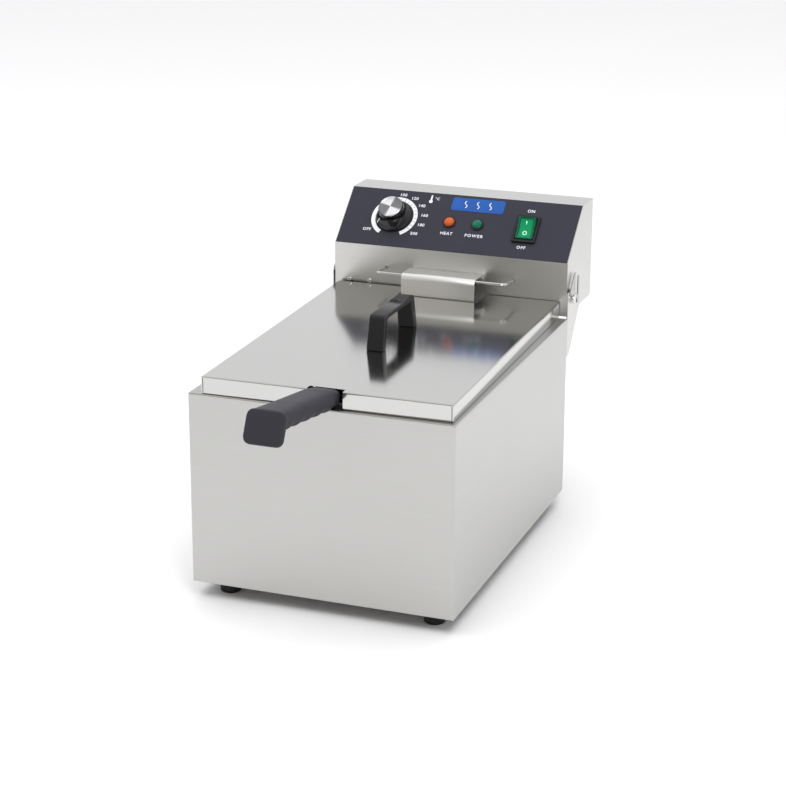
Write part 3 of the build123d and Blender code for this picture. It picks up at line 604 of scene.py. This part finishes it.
class FRYER_OT_studio(bpy.types.Operator):
    """Camera, pale floor and soft light."""

    bl_idname = "fryer.studio"
    bl_label = "Studio"

    def execute(self, context):
        scene = context.scene
        data = bpy.data.cameras.new("Camera")
        data.lens = CAMERA_LENS
        data.sensor_width = 36
        data.clip_end = 100
        camera = bpy.data.objects.new("Camera", data)
        back = Vector(
            (
                sin(CAMERA_AZIMUTH) * cos(CAMERA_ELEVATION),
                -cos(CAMERA_AZIMUTH) * cos(CAMERA_ELEVATION),
                sin(CAMERA_ELEVATION),
            )
        )
        right = Vector((cos(CAMERA_AZIMUTH), sin(CAMERA_AZIMUTH), 0))
        turn = Matrix((right, back.cross(right), back)).transposed().to_4x4()
        camera.matrix_world = (
            Matrix.Translation(CAMERA_AT) @ turn @ Matrix.Rotation(CAMERA_ROLL, 4, "Z")
        )
        scene.collection.objects.link(camera)
        scene.camera = camera
        scene.view_settings.view_transform = "Standard"

        scene.world = self.surroundings()
        white = plastic("Studio floor", (0.74, 0.74, 0.745), 0.7, tone=0.0, bump=0.0)
        corners = [Vector((x, y, 0)) * FLOOR_REACH for x, y in ((-1, -1), (1, -1), (1, 1), (-1, 1))]
        floor = make_object("studio_floor", corners, [(0, 1, 2, 3)], white, smooth=False)
        area_light("Key", (1.0, -1.4, 2.2), target=(0, 0, 0.1), size=0.7, power=16)
        area_light("Top", (-0.1, 0, 2.4), target=(-0.1, 0.001, 0), size=3.4, power=38, mirrored=False)
        sun = bpy.data.lights.new("Even", "SUN")
        sun.energy = 1.05
        sun.angle = radians(70)
        lamp = bpy.data.objects.new("Even", sun)
        lamp.rotation_euler = (radians(12), radians(-8), 0)
        lamp.visible_glossy = False
        scene.collection.objects.link(lamp)
        return {"FINISHED"}

    @staticmethod
    def surroundings():
        """Light room: bright overhead and behind, greyer and warmer low in front."""
        world = bpy.data.worlds.new("Studio")
        world.use_nodes = True
        tree = world.node_tree
        lit = tree.nodes["Background"]
        direction = tree.nodes.new("ShaderNodeSeparateXYZ")
        tree.links.new(tree.nodes.new("ShaderNodeTexCoord").outputs["Generated"], direction.inputs[0])
        rise = math_node(tree, "MULTIPLY", direction.outputs["Z"], ROOM_RISE)
        depth = math_node(tree, "ADD", direction.outputs["Y"], rise)
        level = math_node(tree, "ADD", math_node(tree, "MULTIPLY", depth, 0.5), 0.5)
        ramp = tree.nodes.new("ShaderNodeValToRGB")
        tree.links.new(level, ramp.inputs[0])
        ramp.color_ramp.elements[0].position = 0.12
        ramp.color_ramp.elements[0].color = (*ROOM_FRONT, 1)
        ramp.color_ramp.elements[1].position = 0.78
        ramp.color_ramp.elements[1].color = (*ROOM_BACK, 1)
        tree.links.new(ramp.outputs[0], lit.inputs[0])
        lit.inputs[1].default_value = ROOM_LEVEL
        plain = tree.nodes.new("ShaderNodeBackground")
        seen = tree.nodes.new("ShaderNodeLightPath").outputs["Is Camera Ray"]
        mixed = tree.nodes.new("ShaderNodeMixShader")
        tree.links.new(seen, mixed.inputs[0])
        tree.links.new(lit.outputs[0], mixed.inputs[1])
        plain.inputs[0].default_value = (1, 1, 1, 1)
        tree.links.new(plain.outputs[0], mixed.inputs[2])
        tree.links.new(mixed.outputs[0], tree.nodes["World Output"].inputs[0])
        return world


# ---- sheet metal and fixed parts ----


class FRYER_OT_sheet_metal(bpy.types.Operator):
    """Finishes the casing, head, lid pan, tank and small metal parts."""

    bl_idname = "fryer.sheet_metal"
    bl_label = "Sheet metal"

    def execute(self, context):
        MATERIALS.update(build_materials(context.scene.fryer_colours))
        edge = context.scene.fryer_sizes.edge
        casing = MATERIALS["casing"]
        head = MATERIALS["head"]
        finish_nodes(casing, "casing_wrap", "top_deck", "casing_rear_panel", "casing_floor", bevel=edge)
        finish_nodes(MATERIALS["tank"], "oil_tank")
        finish_nodes(head, "head_housing", "hinge_bracket_left", "hinge_bracket_right", bevel=edge)
        finish_nodes(head, "head_rear_cover", "head_floor_plate", "element_neck", bevel=edge)
        finish_nodes(MATERIALS["lid"], "lid_pan", bevel=edge)
        finish_nodes(MATERIALS["hook"], "basket_hook", bevel=edge / 2)
        finish_nodes(MATERIALS["stay"], "head_stay_left", "head_stay_right", bevel=edge / 2)
        finish_nodes(
            MATERIALS["bright"],
            "foot_screws",
            "rear_cover_screws",
            "dome_nuts",
            "pivot_pin_left",
            "pivot_pin_right",
            "thermostat_bulb",
            "cutout_bulb",
            "probe_strap",
            "thermostat_shaft",
            "lid_handle_screws",
        )
        finish_nodes(MATERIALS["chrome"], "hook_rail", "handle_rods", "basket_rim")
        finish_nodes(MATERIALS["element"], "heating_element")
        finish_nodes(
            MATERIALS["inner"], "thermostat_body", "terminal_block", "overheat_cutout", "interlock_switch"
        )
        finish_nodes(MATERIALS["switch"], "heat_lamp_body", "power_lamp_body", bevel=edge / 2)
        finish_nodes(MATERIALS["switch"], "switch_housing", "cable_gland", bevel=edge)
        finish_nodes(MATERIALS["film"], "control_panel")
        finish_nodes(MATERIALS["red"], "reset_button", bevel=edge)
        feet = [f"foot_{end}_{side}" for end in ("front", "rear") for side in ("left", "right")]
        finish_nodes(MATERIALS["rubber"], *feet)
        return {"FINISHED"}


LID_YAW = radians(0.84)          # the lid sits slightly askew on the tank
LID_WIDTH, LID_LENGTH = 252.6 * MM, 365.7 * MM


class FRYER_OT_lid_seams(bpy.types.Operator):
    """Dark strips of painted shadow in the folds at the lid's front corners."""

    bl_idname = "fryer.lid_seams"
    bl_label = "Lid seams"

    def execute(self, context):
        low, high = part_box("lid_pan")
        yaw = LID_YAW
        width, seam, inset = LID_WIDTH, 0.7 * MM, 1.3 * MM
        front_left = Vector((low.x + LID_LENGTH * sin(yaw), low.y, 0))
        across = Vector((cos(yaw), sin(yaw), 0))
        forward = Vector((sin(yaw), -cos(yaw), 0))
        parts = []
        # each strip is a dark sheet of painted shadow, set just in front of the fold
        for along in (inset, width - inset - seam):
            start = front_left + across * along + forward * 0.03 * MM
            lower, upper = low.z + 0.4 * MM, high.z - 2.0 * MM
            verts = [
                start + Vector((0, 0, lower)),
                start + across * seam + Vector((0, 0, lower)),
                start + across * seam + Vector((0, 0, upper)),
                start + Vector((0, 0, upper)),
            ]
            parts.append((verts, [(0, 1, 2, 3)]))
        piece = make_object("lid_corner_seam_shadows", *join_parts(parts), MATERIALS["seam"], smooth=False)
        attach(piece, "lid", "lid_steel")
        return {"FINISHED"}


# ---- lid handle ----


class FRYER_OT_lid_handle(bpy.types.Operator):
    """Black bridge handle with tapered legs."""

    bl_idname = "fryer.lid_handle"
    bl_label = "Lid handle"

    def execute(self, context):
        low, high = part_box("lid_handle")
        lean, leg, crown = 8 * MM, 7.5 * MM, 5 * MM
        bend, ease = 4 * MM, 1.2 * MM
        half_top, half_foot = 8.3 * MM, 9.0 * MM
        centre, span = (low.x + high.x) / 2, high.z - low.z
        outer = self.both_legs(
            low, high, [(0, span), (lean * 0.85, bend), (lean, ease), (lean + 2.2 * MM, 0)]
        )
        inner = self.both_legs(
            low,
            high,
            [
                (leg + 1.5 * MM, span),
                (lean + leg - 1 * MM, crown + bend),
                (lean + leg, crown + ease),
                (lean + leg + 2 * MM, crown),
            ],
        )
        rings = []
        for (oy, oz), (iy, iz) in zip(outer, inner):
            ring = []
            for y, z, side in ((oy, oz, -1), (oy, oz, 1), (iy, iz, 1), (iy, iz, -1)):
                share = (z - low.z) / span
                half = half_foot + (half_top - half_foot) * share
                ring.append(Vector((centre + side * half, y, z)))
            rings.append(ring)
        piece = make_object("lid_handle_moulding", *loft(rings), MATERIALS["handle"])
        add_bevel(piece, 1.3 * MM, segments=3, angle=50)
        attach(piece, "lid", "handle_plastic", "lid_handle")
        return {"FINISHED"}

    @staticmethod
    def both_legs(low, high, steps):
        """Outline from a leg's (in from its end, below the top) steps, and the same mirrored."""
        near = [(low.y + run, high.z - drop) for run, drop in steps]
        far = [(high.y - run, high.z - drop) for run, drop in reversed(steps)]
        return near + far


# ---- basket ----


class FRYER_OT_basket_mesh(bpy.types.Operator):
    """Woven wire basket."""

    bl_idname = "fryer.basket_mesh"
    bl_label = "Basket mesh"

    def execute(self, context):
        sizes = context.scene.fryer_sizes
        low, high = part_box("basket_mesh")
        radius = sizes.wire / 2
        inset = Vector((radius * 2, radius * 2, radius * 2))
        low, high = low + inset, high - inset
        corner, band_corner, crimp = 9 * MM, 15 * MM, 0.6
        parts = []
        for axis, other in ((0, 1), (1, 0)):
            span = high[other] - low[other] - 2 * corner
            count = int(span / sizes.mesh_pitch)
            for k in range(count + 1):
                place = low[other] + corner + span * k / count
                wave = radius if k % 2 else -radius
                points = []
                outline = self.wall_path(low[axis], high[axis], low.z, high.z, corner, sizes.mesh_pitch / 2)
                for step, (along, height) in enumerate(outline):
                    point = Vector((0, 0, height))
                    point[axis] = along
                    point[other] = place
                    point.z += wave * (crimp if step % 2 else -crimp)
                    points.append(point)
                parts.append(tube(points, radius, sides=5))
        for k in range(int((high.z - low.z - corner) / sizes.mesh_pitch) + 1):
            height = low.z + corner + k * sizes.mesh_pitch
            outline = rounded_outline(high.x - low.x, high.y - low.y, band_corner)
            centre = Vector(((low.x + high.x) / 2, (low.y + high.y) / 2, height))
            parts.append(tube([p + centre for p in outline], radius, sides=5, closed=True))
        piece = make_object("basket_weave", *join_parts(parts), MATERIALS["chrome"])
        attach(piece, "basket", "chrome_wire", "basket_mesh")
        return {"FINISHED"}

    @staticmethod
    def wall_path(start, end, bottom, top, corner, step):
        """Down one wall, across the floor and up the other, with rounded corners."""
        points = []
        rises = int((top - bottom - corner) / step)
        for k in range(rises):
            points.append((start, top - (top - bottom - corner) * k / rises))
        for k in range(5):
            angle = radians(90 * k / 4)
            points.append((start + corner * (1 - cos(angle)), bottom + corner * (1 - sin(angle))))
        runs = int((end - start - 2 * corner) / step)
        for k in range(1, runs):
            points.append((start + corner + (end - start - 2 * corner) * k / runs, bottom))
        mirrored = [(start + end - along, height) for along, height in reversed(points[: rises + 5])]
        return points + mirrored


def grip_section(half_width, top, bottom, steps=28):
    """Cross-section of the grip: rounded box, fuller on top."""
    points = []
    for k in range(steps):
        angle = 2 * pi * k / steps
        x, z = cos(angle), sin(angle)
        reach = top if z > 0 else bottom
        points.append(
            (
                half_width * (abs(x) ** 0.55) * (1 if x > 0 else -1),
                reach * (abs(z) ** 0.6) * (1 if z > 0 else -1),
            )
        )
    return points


class FRYER_OT_basket_grip(bpy.types.Operator):
    """Moulded grip with finger hollows and an end blade."""

    bl_idname = "fryer.basket_grip"
    bl_label = "Basket grip"

    def execute(self, context):
        sizes = context.scene.fryer_sizes
        low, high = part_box("basket_grip")
        rise, length = sizes.grip_rise, sizes.grip_length
        half_depth = 10.25 * MM
        along = Vector((0, -cos(rise), sin(rise)))
        up = Vector((0, sin(rise), cos(rise)))
        centre_x = (low.x + high.x) / 2
        root = Vector((centre_x, high.y - half_depth * sin(rise), low.z + half_depth * cos(rise)))
        rings = []
        steps = 60
        in_blade, first_finger = 3 * MM, 12.5 * MM
        belly, belly_from, belly_run = 2.0 * MM, 9 * MM, 12 * MM
        shoulder_run, shoulder_drop, shoulder_gain = 26 * MM, 2.5 * MM, 1.2 * MM
        crown_drop, crown_rise = 2.0 * MM, 1.0 * MM
        root_half, flare = 14.8 * MM, 2.2 * MM
        for k in range(steps + 1):
            run = (length - in_blade) * k / steps
            finger = 0.5 + 0.5 * cos(2 * pi * (run - first_finger) / sizes.finger_pitch)
            sag = belly * min(1.0, max(0.0, (run - belly_from) / belly_run))
            bottom = half_depth - sizes.finger_depth * finger**2 + sag
            shoulder = min(1.0, run / shoulder_run)
            top = half_depth - crown_drop - shoulder_drop * (1 - shoulder) ** 2
            top += crown_rise * (1 - run / length)
            half_width = root_half + shoulder_gain * shoulder + flare * (run / length) ** 4
            rings.append(
                [root + along * run + ACROSS * x + up * z for x, z in grip_section(half_width, top, bottom)]
            )
        tilt, thick = radians(26.7), 8 * MM
        blade_w, blade_l = 37.5 * MM, 32 * MM
        out = Vector((0, -cos(tilt), sin(tilt)))
        down = Vector((0, -sin(tilt), -cos(tilt)))
        tip = root + along * length + up * (half_depth - 1.8 * MM)
        blade_outline = rounded_outline(blade_w, blade_l, 6.5 * MM)
        layers = []
        for depth, shrink in ((-thick, 0.93), (-thick + 1.2 * MM, 1.0), (-1.0 * MM, 1.0), (-0.1 * MM, 0.95)):
            layers.append(
                [
                    tip + out * depth + down * (blade_l / 2 + p.y * shrink) + ACROSS * p.x * shrink
                    for p in blade_outline
                ]
            )
        verts, faces = join_parts([loft(rings), loft(layers)])
        piece = make_object("basket_grip_moulding", verts, faces, MATERIALS["grip"])
        remesh = piece.modifiers.new("Remesh", "REMESH")
        remesh.mode = "VOXEL"
        remesh.voxel_size = 0.9 * MM
        remesh.use_smooth_shade = True
        soften = piece.modifiers.new("Smooth", "SMOOTH")
        soften.factor = 0.6
        soften.iterations = 6
        bake_modifiers(piece)
        attach(piece, "basket", "grip_plastic", "basket_grip")
        return {"FINISHED"}


# ---- controls ----


def place_on_panel(piece, x, up, out=0.0, tilt=0.0):
    """Move the mesh of a piece made round the origin onto the panel."""
    piece.data.transform(panel_place(x, up, out) @ Matrix.Rotation(tilt, 4, "X"))


OFF_ANGLE = -125.7               # of the dial, clockwise from straight up, degrees
CAP_PROFILE = (                  # mm: radius, height over the housing
    (13.2, 19.4),
    (13.2, 20.2),
    (12.7, 20.8),
    (12.0, 21.0),
    (11.7, 20.7),
    (6.6, 20.6),
    (0.2, 20.6),
)


class FRYER_OT_knob(bpy.types.Operator):
    """Flared black knob with a spun metal cap."""

    bl_idname = "fryer.knob"
    bl_label = "Thermostat knob"

    def execute(self, context):
        sizes = context.scene.fryer_sizes
        bore, low, foot, neck = 6.5 * MM, 1.4 * MM, 20.4 * MM, 13.0 * MM
        shoulder, band, band_top = 16.6 * MM, 13.6 * MM, 19.6 * MM
        edge, skirt, flare_foot, flare_curve, flare_steps = 0.5 * MM, 2.0 * MM, 2.4 * MM, 2.2, 12
        profile = [(bore, low), (foot - edge, low), (foot, low + edge), (foot, low + skirt)]
        reach = foot - 0.8 * MM - neck
        for k in range(1, flare_steps + 1):
            share = k / flare_steps
            rise = (shoulder - low - flare_foot) * share
            profile.append((neck + reach * (1 - share) ** flare_curve, low + flare_foot + rise))
        rows = len(profile) + 1
        profile += [(band - edge, shoulder + 0.1 * MM), (band, shoulder + edge), (band, band_top)]
        tooth = 0.3 * MM

        def flutes(row, angle):
            return tooth * cos(sizes.cap_teeth * angle) if row >= rows else 0.0

        knob = make_object("knob_moulding", *revolve(profile, 176, flutes), MATERIALS["knob"])
        place_on_panel(knob, *KNOB_AT)
        attach(knob, "knob", "knob_black", "thermostat_knob")
        cap_profile = [(radius * MM, height * MM) for radius, height in CAP_PROFILE]
        cap = make_object("knob_cap_spun", *revolve(cap_profile, 96), MATERIALS["cap"])
        cap.matrix_world = panel_place(*KNOB_AT)
        attach(cap, "knob", "knob_aluminium", "knob_cap")
        angle = radians(OFF_ANGLE)
        toward = Vector((sin(angle), cos(angle), 0))
        side = Vector((cos(angle), -sin(angle), 0))
        half = 0.55 * MM
        verts = []
        for reach, height in ((19.6 * MM, 4.1 * MM), (15.6 * MM, 8.4 * MM)):
            for sign in (-1, 1):
                verts.append(toward * reach + side * sign * half + Vector((0, 0, height)))
        pointer = make_object("knob_pointer", verts, [(0, 1, 3, 2)], MATERIALS["print"], smooth=False)
        thicken = pointer.modifiers.new("Solidify", "SOLIDIFY")
        thicken.thickness = 1.0 * MM
        thicken.offset = 0
        place_on_panel(pointer, *KNOB_AT)
        attach(pointer, "knob", "knob_black")
        return {"FINISHED"}


LAMP_UP = 38.0 * MM
LENS_FOOT = FILM + 1.2 * MM
LENS_SIDES = 10
LENS_PROFILE = ((5.7, 0), (5.7, 0.9), (4.9, 2.1), (3.4, 3.0), (1.6, 3.5))     # mm: radius, rise


class FRYER_OT_lamps(bpy.types.Operator):
    """Faceted lenses of the heat and power lamps."""

    bl_idname = "fryer.lamps"
    bl_label = "Lamps"

    def execute(self, context):
        for name, material, slot in (
            ("heat_lamp_lens", "orange", "orange_lens"),
            ("power_lamp_lens", "green", "green_lens"),
        ):
            profile = [(radius * MM, LENS_FOOT + rise * MM) for radius, rise in LENS_PROFILE]
            facets = revolve(profile, LENS_SIDES)
            lens = make_object(f"{name}_facets", *facets, MATERIALS[material], smooth=False)
            place_on_panel(lens, middle(name).x, LAMP_UP)
            attach(lens, "head", slot, name)
        return {"FINISHED"}


SWITCH_AT = (78.0 * MM, 37.4 * MM)
ROCKER_OUT = 2.0 * MM
ROCKER_TILT = radians(12)


class FRYER_OT_rocker(bpy.types.Operator):
    """Green rocker with a raised rim and its two marks."""

    bl_idname = "fryer.rocker"
    bl_label = "Rocker"

    def execute(self, context):
        half_w, half_l, skirt, rim = 9.6 * MM, 12.6 * MM, 3 * MM, 2.8 * MM
        depth, rows = 1.3 * MM, 24
        rings = []
        for k in range(rows + 1):
            up = -half_l + 2 * half_l * k / rows
            end = min(1.0, (half_l - abs(up)) / (1.4 * MM))
            crown, hollow = self.crown(up), depth * min(1.0, (half_l - abs(up)) / (2.6 * MM))
            side = half_w - 0.6 * MM * (1 - end)
            half = [
                (side, -skirt),
                (side, crown - 0.7 * MM),
                (side - 0.6 * MM, crown - 0.1 * MM),
                (side - 1.8 * MM, crown),
                (side - rim, crown - hollow),
            ]
            section = [(-x, z) for x, z in half] + half[::-1]
            rings.append([Vector((x, up, z)) for x, z in section])
        body = make_object("rocker_moulding", *loft(rings), MATERIALS["rocker_rim"], smooth=False)
        body.data.materials.append(MATERIALS["rocker"])
        inner = half_w - 2.6 * MM
        for face in body.data.polygons:
            if face.normal.z > 0.5 and abs(face.center.x) < inner and abs(face.center.y) < half_l - 2 * MM:
                face.material_index = 1
        floor = 1.25 * MM
        bar = [Vector((0, up, self.crown(up) - floor)) for up in (4.4 * MM, 8.2 * MM)]
        ring = []
        ring_x, ring_y, ring_up, ring_steps = 2.0 * MM, 2.1 * MM, -5.6 * MM, 24
        for k in range(ring_steps):
            turn = 2 * pi * k / ring_steps
            spot = Vector((ring_x * cos(turn), ring_up + ring_y * sin(turn), 0))
            spot.z = self.crown(spot.y) - floor
            ring.append(spot)
        marks = make_object(
            "rocker_marks",
            *join_parts([tube(bar, 0.6 * MM, 6), tube(ring, 0.55 * MM, 6, closed=True)]),
            MATERIALS["rocker_mark"],
        )
        for piece in (body, marks):
            place_on_panel(piece, *SWITCH_AT, ROCKER_OUT, ROCKER_TILT)
        attach(body, "rocker", "rocker_green", "switch_rocker")
        attach(marks, "rocker", "rocker_green")
        return {"FINISHED"}

    @staticmethod
    def crown(up):
        """Height of the rocker's hollow top."""
        return 3.4 * MM + 1.6 * MM * (up / (12.7 * MM)) ** 2


# ---- print on the panel ----


CAPITAL_SHARE = 0.69             # height of a capital, as a share of the font's size


def words(text, height, x, up, name, spacing=1.12):
    """Flat lettering on the film, centred on its place."""
    curve = bpy.data.curves.new(name, "FONT")
    curve.body = text
    curve.size = height / CAPITAL_SHARE
    curve.align_x = "CENTER"
    curve.align_y = "CENTER"
    curve.space_character = spacing
    curve.offset = 0.08 * MM
    curve.resolution_u = 3
    source = bpy.data.objects.new(name + "_source", curve)
    bpy.context.scene.collection.objects.link(source)
    bpy.context.view_layer.update()
    graph = bpy.context.evaluated_depsgraph_get()
    mesh = bpy.data.meshes.new_from_object(source.evaluated_get(graph))
    bpy.data.objects.remove(source)
    mesh.materials.clear()
    mesh.materials.append(MATERIALS["print"])
    piece = bpy.data.objects.new(name, mesh)
    bpy.context.scene.collection.objects.link(piece)
    place_on_panel(piece, x, up, FILM + PRINT_LIFT)
    attach(piece, "head", "panel_film")


def shape_on_panel(name, verts, faces, material, x, up, lift=1.0):
    """Flat printed shape."""
    piece = make_object(name, verts, faces, MATERIALS[material], smooth=False)
    place_on_panel(piece, x, up, FILM + PRINT_LIFT * lift)
    attach(piece, "head", "panel_film")


DIAL_LABELS = (                  # text, mm across and up the slope from the knob's centre
    ("100", 2.8, 29.7),
    ("120", 16.9, 26.3),
    ("140", 27.3, 17.4),
    ("160", 33.6, 5.0),
    ("180", 32.9, -7.8),
    ("200", 27.9, -19.8),
    ("OFF", -27.0, -19.2),
)
TICK_START, TICK_STEP, TICK_HALF = 5.0, 12.0, 0.55      # degrees round the dial
RING_END = 151                          # the ring stops this far from straight up, degrees
THERMOMETER_AT = (-38.0 * MM, 63.6 * MM)
BADGE_AT = (17.1 * MM, 63.2 * MM)
WORDS = (                        # name, text, height, mm across and up the slope, letter spacing
    ("dial_unit", "°C", 3.2, -31.2, 67.7, 1.12),
    ("word_heat", "HEAT", 3.6, -9.6, 23.6, 1.12),
    ("word_power", "POWER", 3.6, 21.7, 23.4, 1.25),
    ("word_on", "ON", 3.6, 77.8, 62.0, 1.12),
    ("word_off", "OFF", 3.5, 77.4, 14.2, 1.2),
)


class FRYER_OT_panel_print(bpy.types.Operator):
    """Dial ring, numbers, words and a plain badge."""

    bl_idname = "fryer.panel_print"
    bl_label = "Panel print"

    def execute(self, context):
        sizes = context.scene.fryer_sizes
        outer = sizes.dial_radius
        inner = outer - sizes.dial_width
        shape_on_panel("dial_ring", *flat_ring(inner, outer, -RING_END, RING_END), "print", *KNOB_AT)
        ticks = []
        margin = 0.6 * MM
        for k in range(11):
            angle = TICK_START + TICK_STEP * k
            ticks.append(flat_ring(inner + margin, outer - margin, angle - TICK_HALF, angle + TICK_HALF, 1))
        shape_on_panel("dial_ticks", *join_parts(ticks), "dark_print", *KNOB_AT, lift=2.0)
        for text, x, up in DIAL_LABELS:
            words(text, 3.5 * MM, KNOB_AT[0] + x * MM, KNOB_AT[1] + up * MM, f"dial_{text}")
        for name, text, height, x, up, spacing in WORDS:
            words(text, height * MM, x * MM, up * MM, name, spacing)
        bulb = flat_ring(0.0, 2.1 * MM, 0, 360, 24)
        half, foot, head = 0.9 * MM, 1.2 * MM, 7.6 * MM
        stem = [Vector((x, y, 0)) for x, y in ((-half, foot), (half, foot), (half, head), (-half, head))]
        top_points, top_faces = flat_ring(0.0, half, 0, 360, 16)
        top = ([p + Vector((0, head, 0)) for p in top_points], top_faces)
        mark = join_parts([bulb, (stem, [(0, 1, 2, 3)]), top])
        shape_on_panel("thermometer_mark", *mark, "print", *THERMOMETER_AT)
        badge = slab(rounded_outline(60 * MM, 17 * MM, 2.5 * MM), 0, 0.25 * MM)
        shape_on_panel("badge", *badge, "badge", *BADGE_AT, lift=0.5)
        waves = []
        swing, height, steps = 1.5, 9, 12
        for column in (-14, 0, 14):
            points = [
                Vector((column + swing * sin(2 * pi * k / steps), height * (k / steps - 0.5), 0.3)) * MM
                for k in range(steps + 1)
            ]
            waves.append(tube(points, 0.55 * MM, 6))
        shape_on_panel("badge_waves", *join_parts(waves), "print", *BADGE_AT)
        return {"FINISHED"}


# ---- sidebar panel ----

STEPS = (
    "studio",
    "sheet_metal",
    "lid_seams",
    "lid_handle",
    "basket_mesh",
    "basket_grip",
    "knob",
    "lamps",
    "rocker",
    "panel_print",
)


class FRYER_PT_sidebar(bpy.types.Panel):
    """Buttons for every piece."""

    bl_idname = "FRYER_PT_sidebar"
    bl_label = "Deep Fryer"
    bl_space_type = "VIEW_3D"
    bl_region_type = "UI"
    bl_category = "Fryer"

    def draw(self, context):
        layout = self.layout
        for group in (context.scene.fryer_sizes, context.scene.fryer_colours):
            for name in group.__annotations__:
                layout.prop(group, name)
        for step in STEPS:
            layout.operator(f"fryer.{step}")


CLASSES = (
    FryerSizes,
    FryerColours,
    FRYER_OT_studio,
    FRYER_OT_sheet_metal,
    FRYER_OT_lid_seams,
    FRYER_OT_lid_handle,
    FRYER_OT_basket_mesh,
    FRYER_OT_basket_grip,
    FRYER_OT_knob,
    FRYER_OT_lamps,
    FRYER_OT_rocker,
    FRYER_OT_panel_print,
    FRYER_PT_sidebar,
)


def register():
    for item in CLASSES:
        bpy.utils.register_class(item)
    bpy.types.Scene.fryer_sizes = PointerProperty(type=FryerSizes)
    bpy.types.Scene.fryer_colours = PointerProperty(type=FryerColours)


def unregister():
    del bpy.types.Scene.fryer_colours
    del bpy.types.Scene.fryer_sizes
    for item in reversed(CLASSES):
        bpy.utils.unregister_class(item)


def main():
    register()
    for step in STEPS:
        getattr(bpy.ops.fryer, step)()
    bpy.context.view_layer.update()


if __name__ == "__main__":
    main()
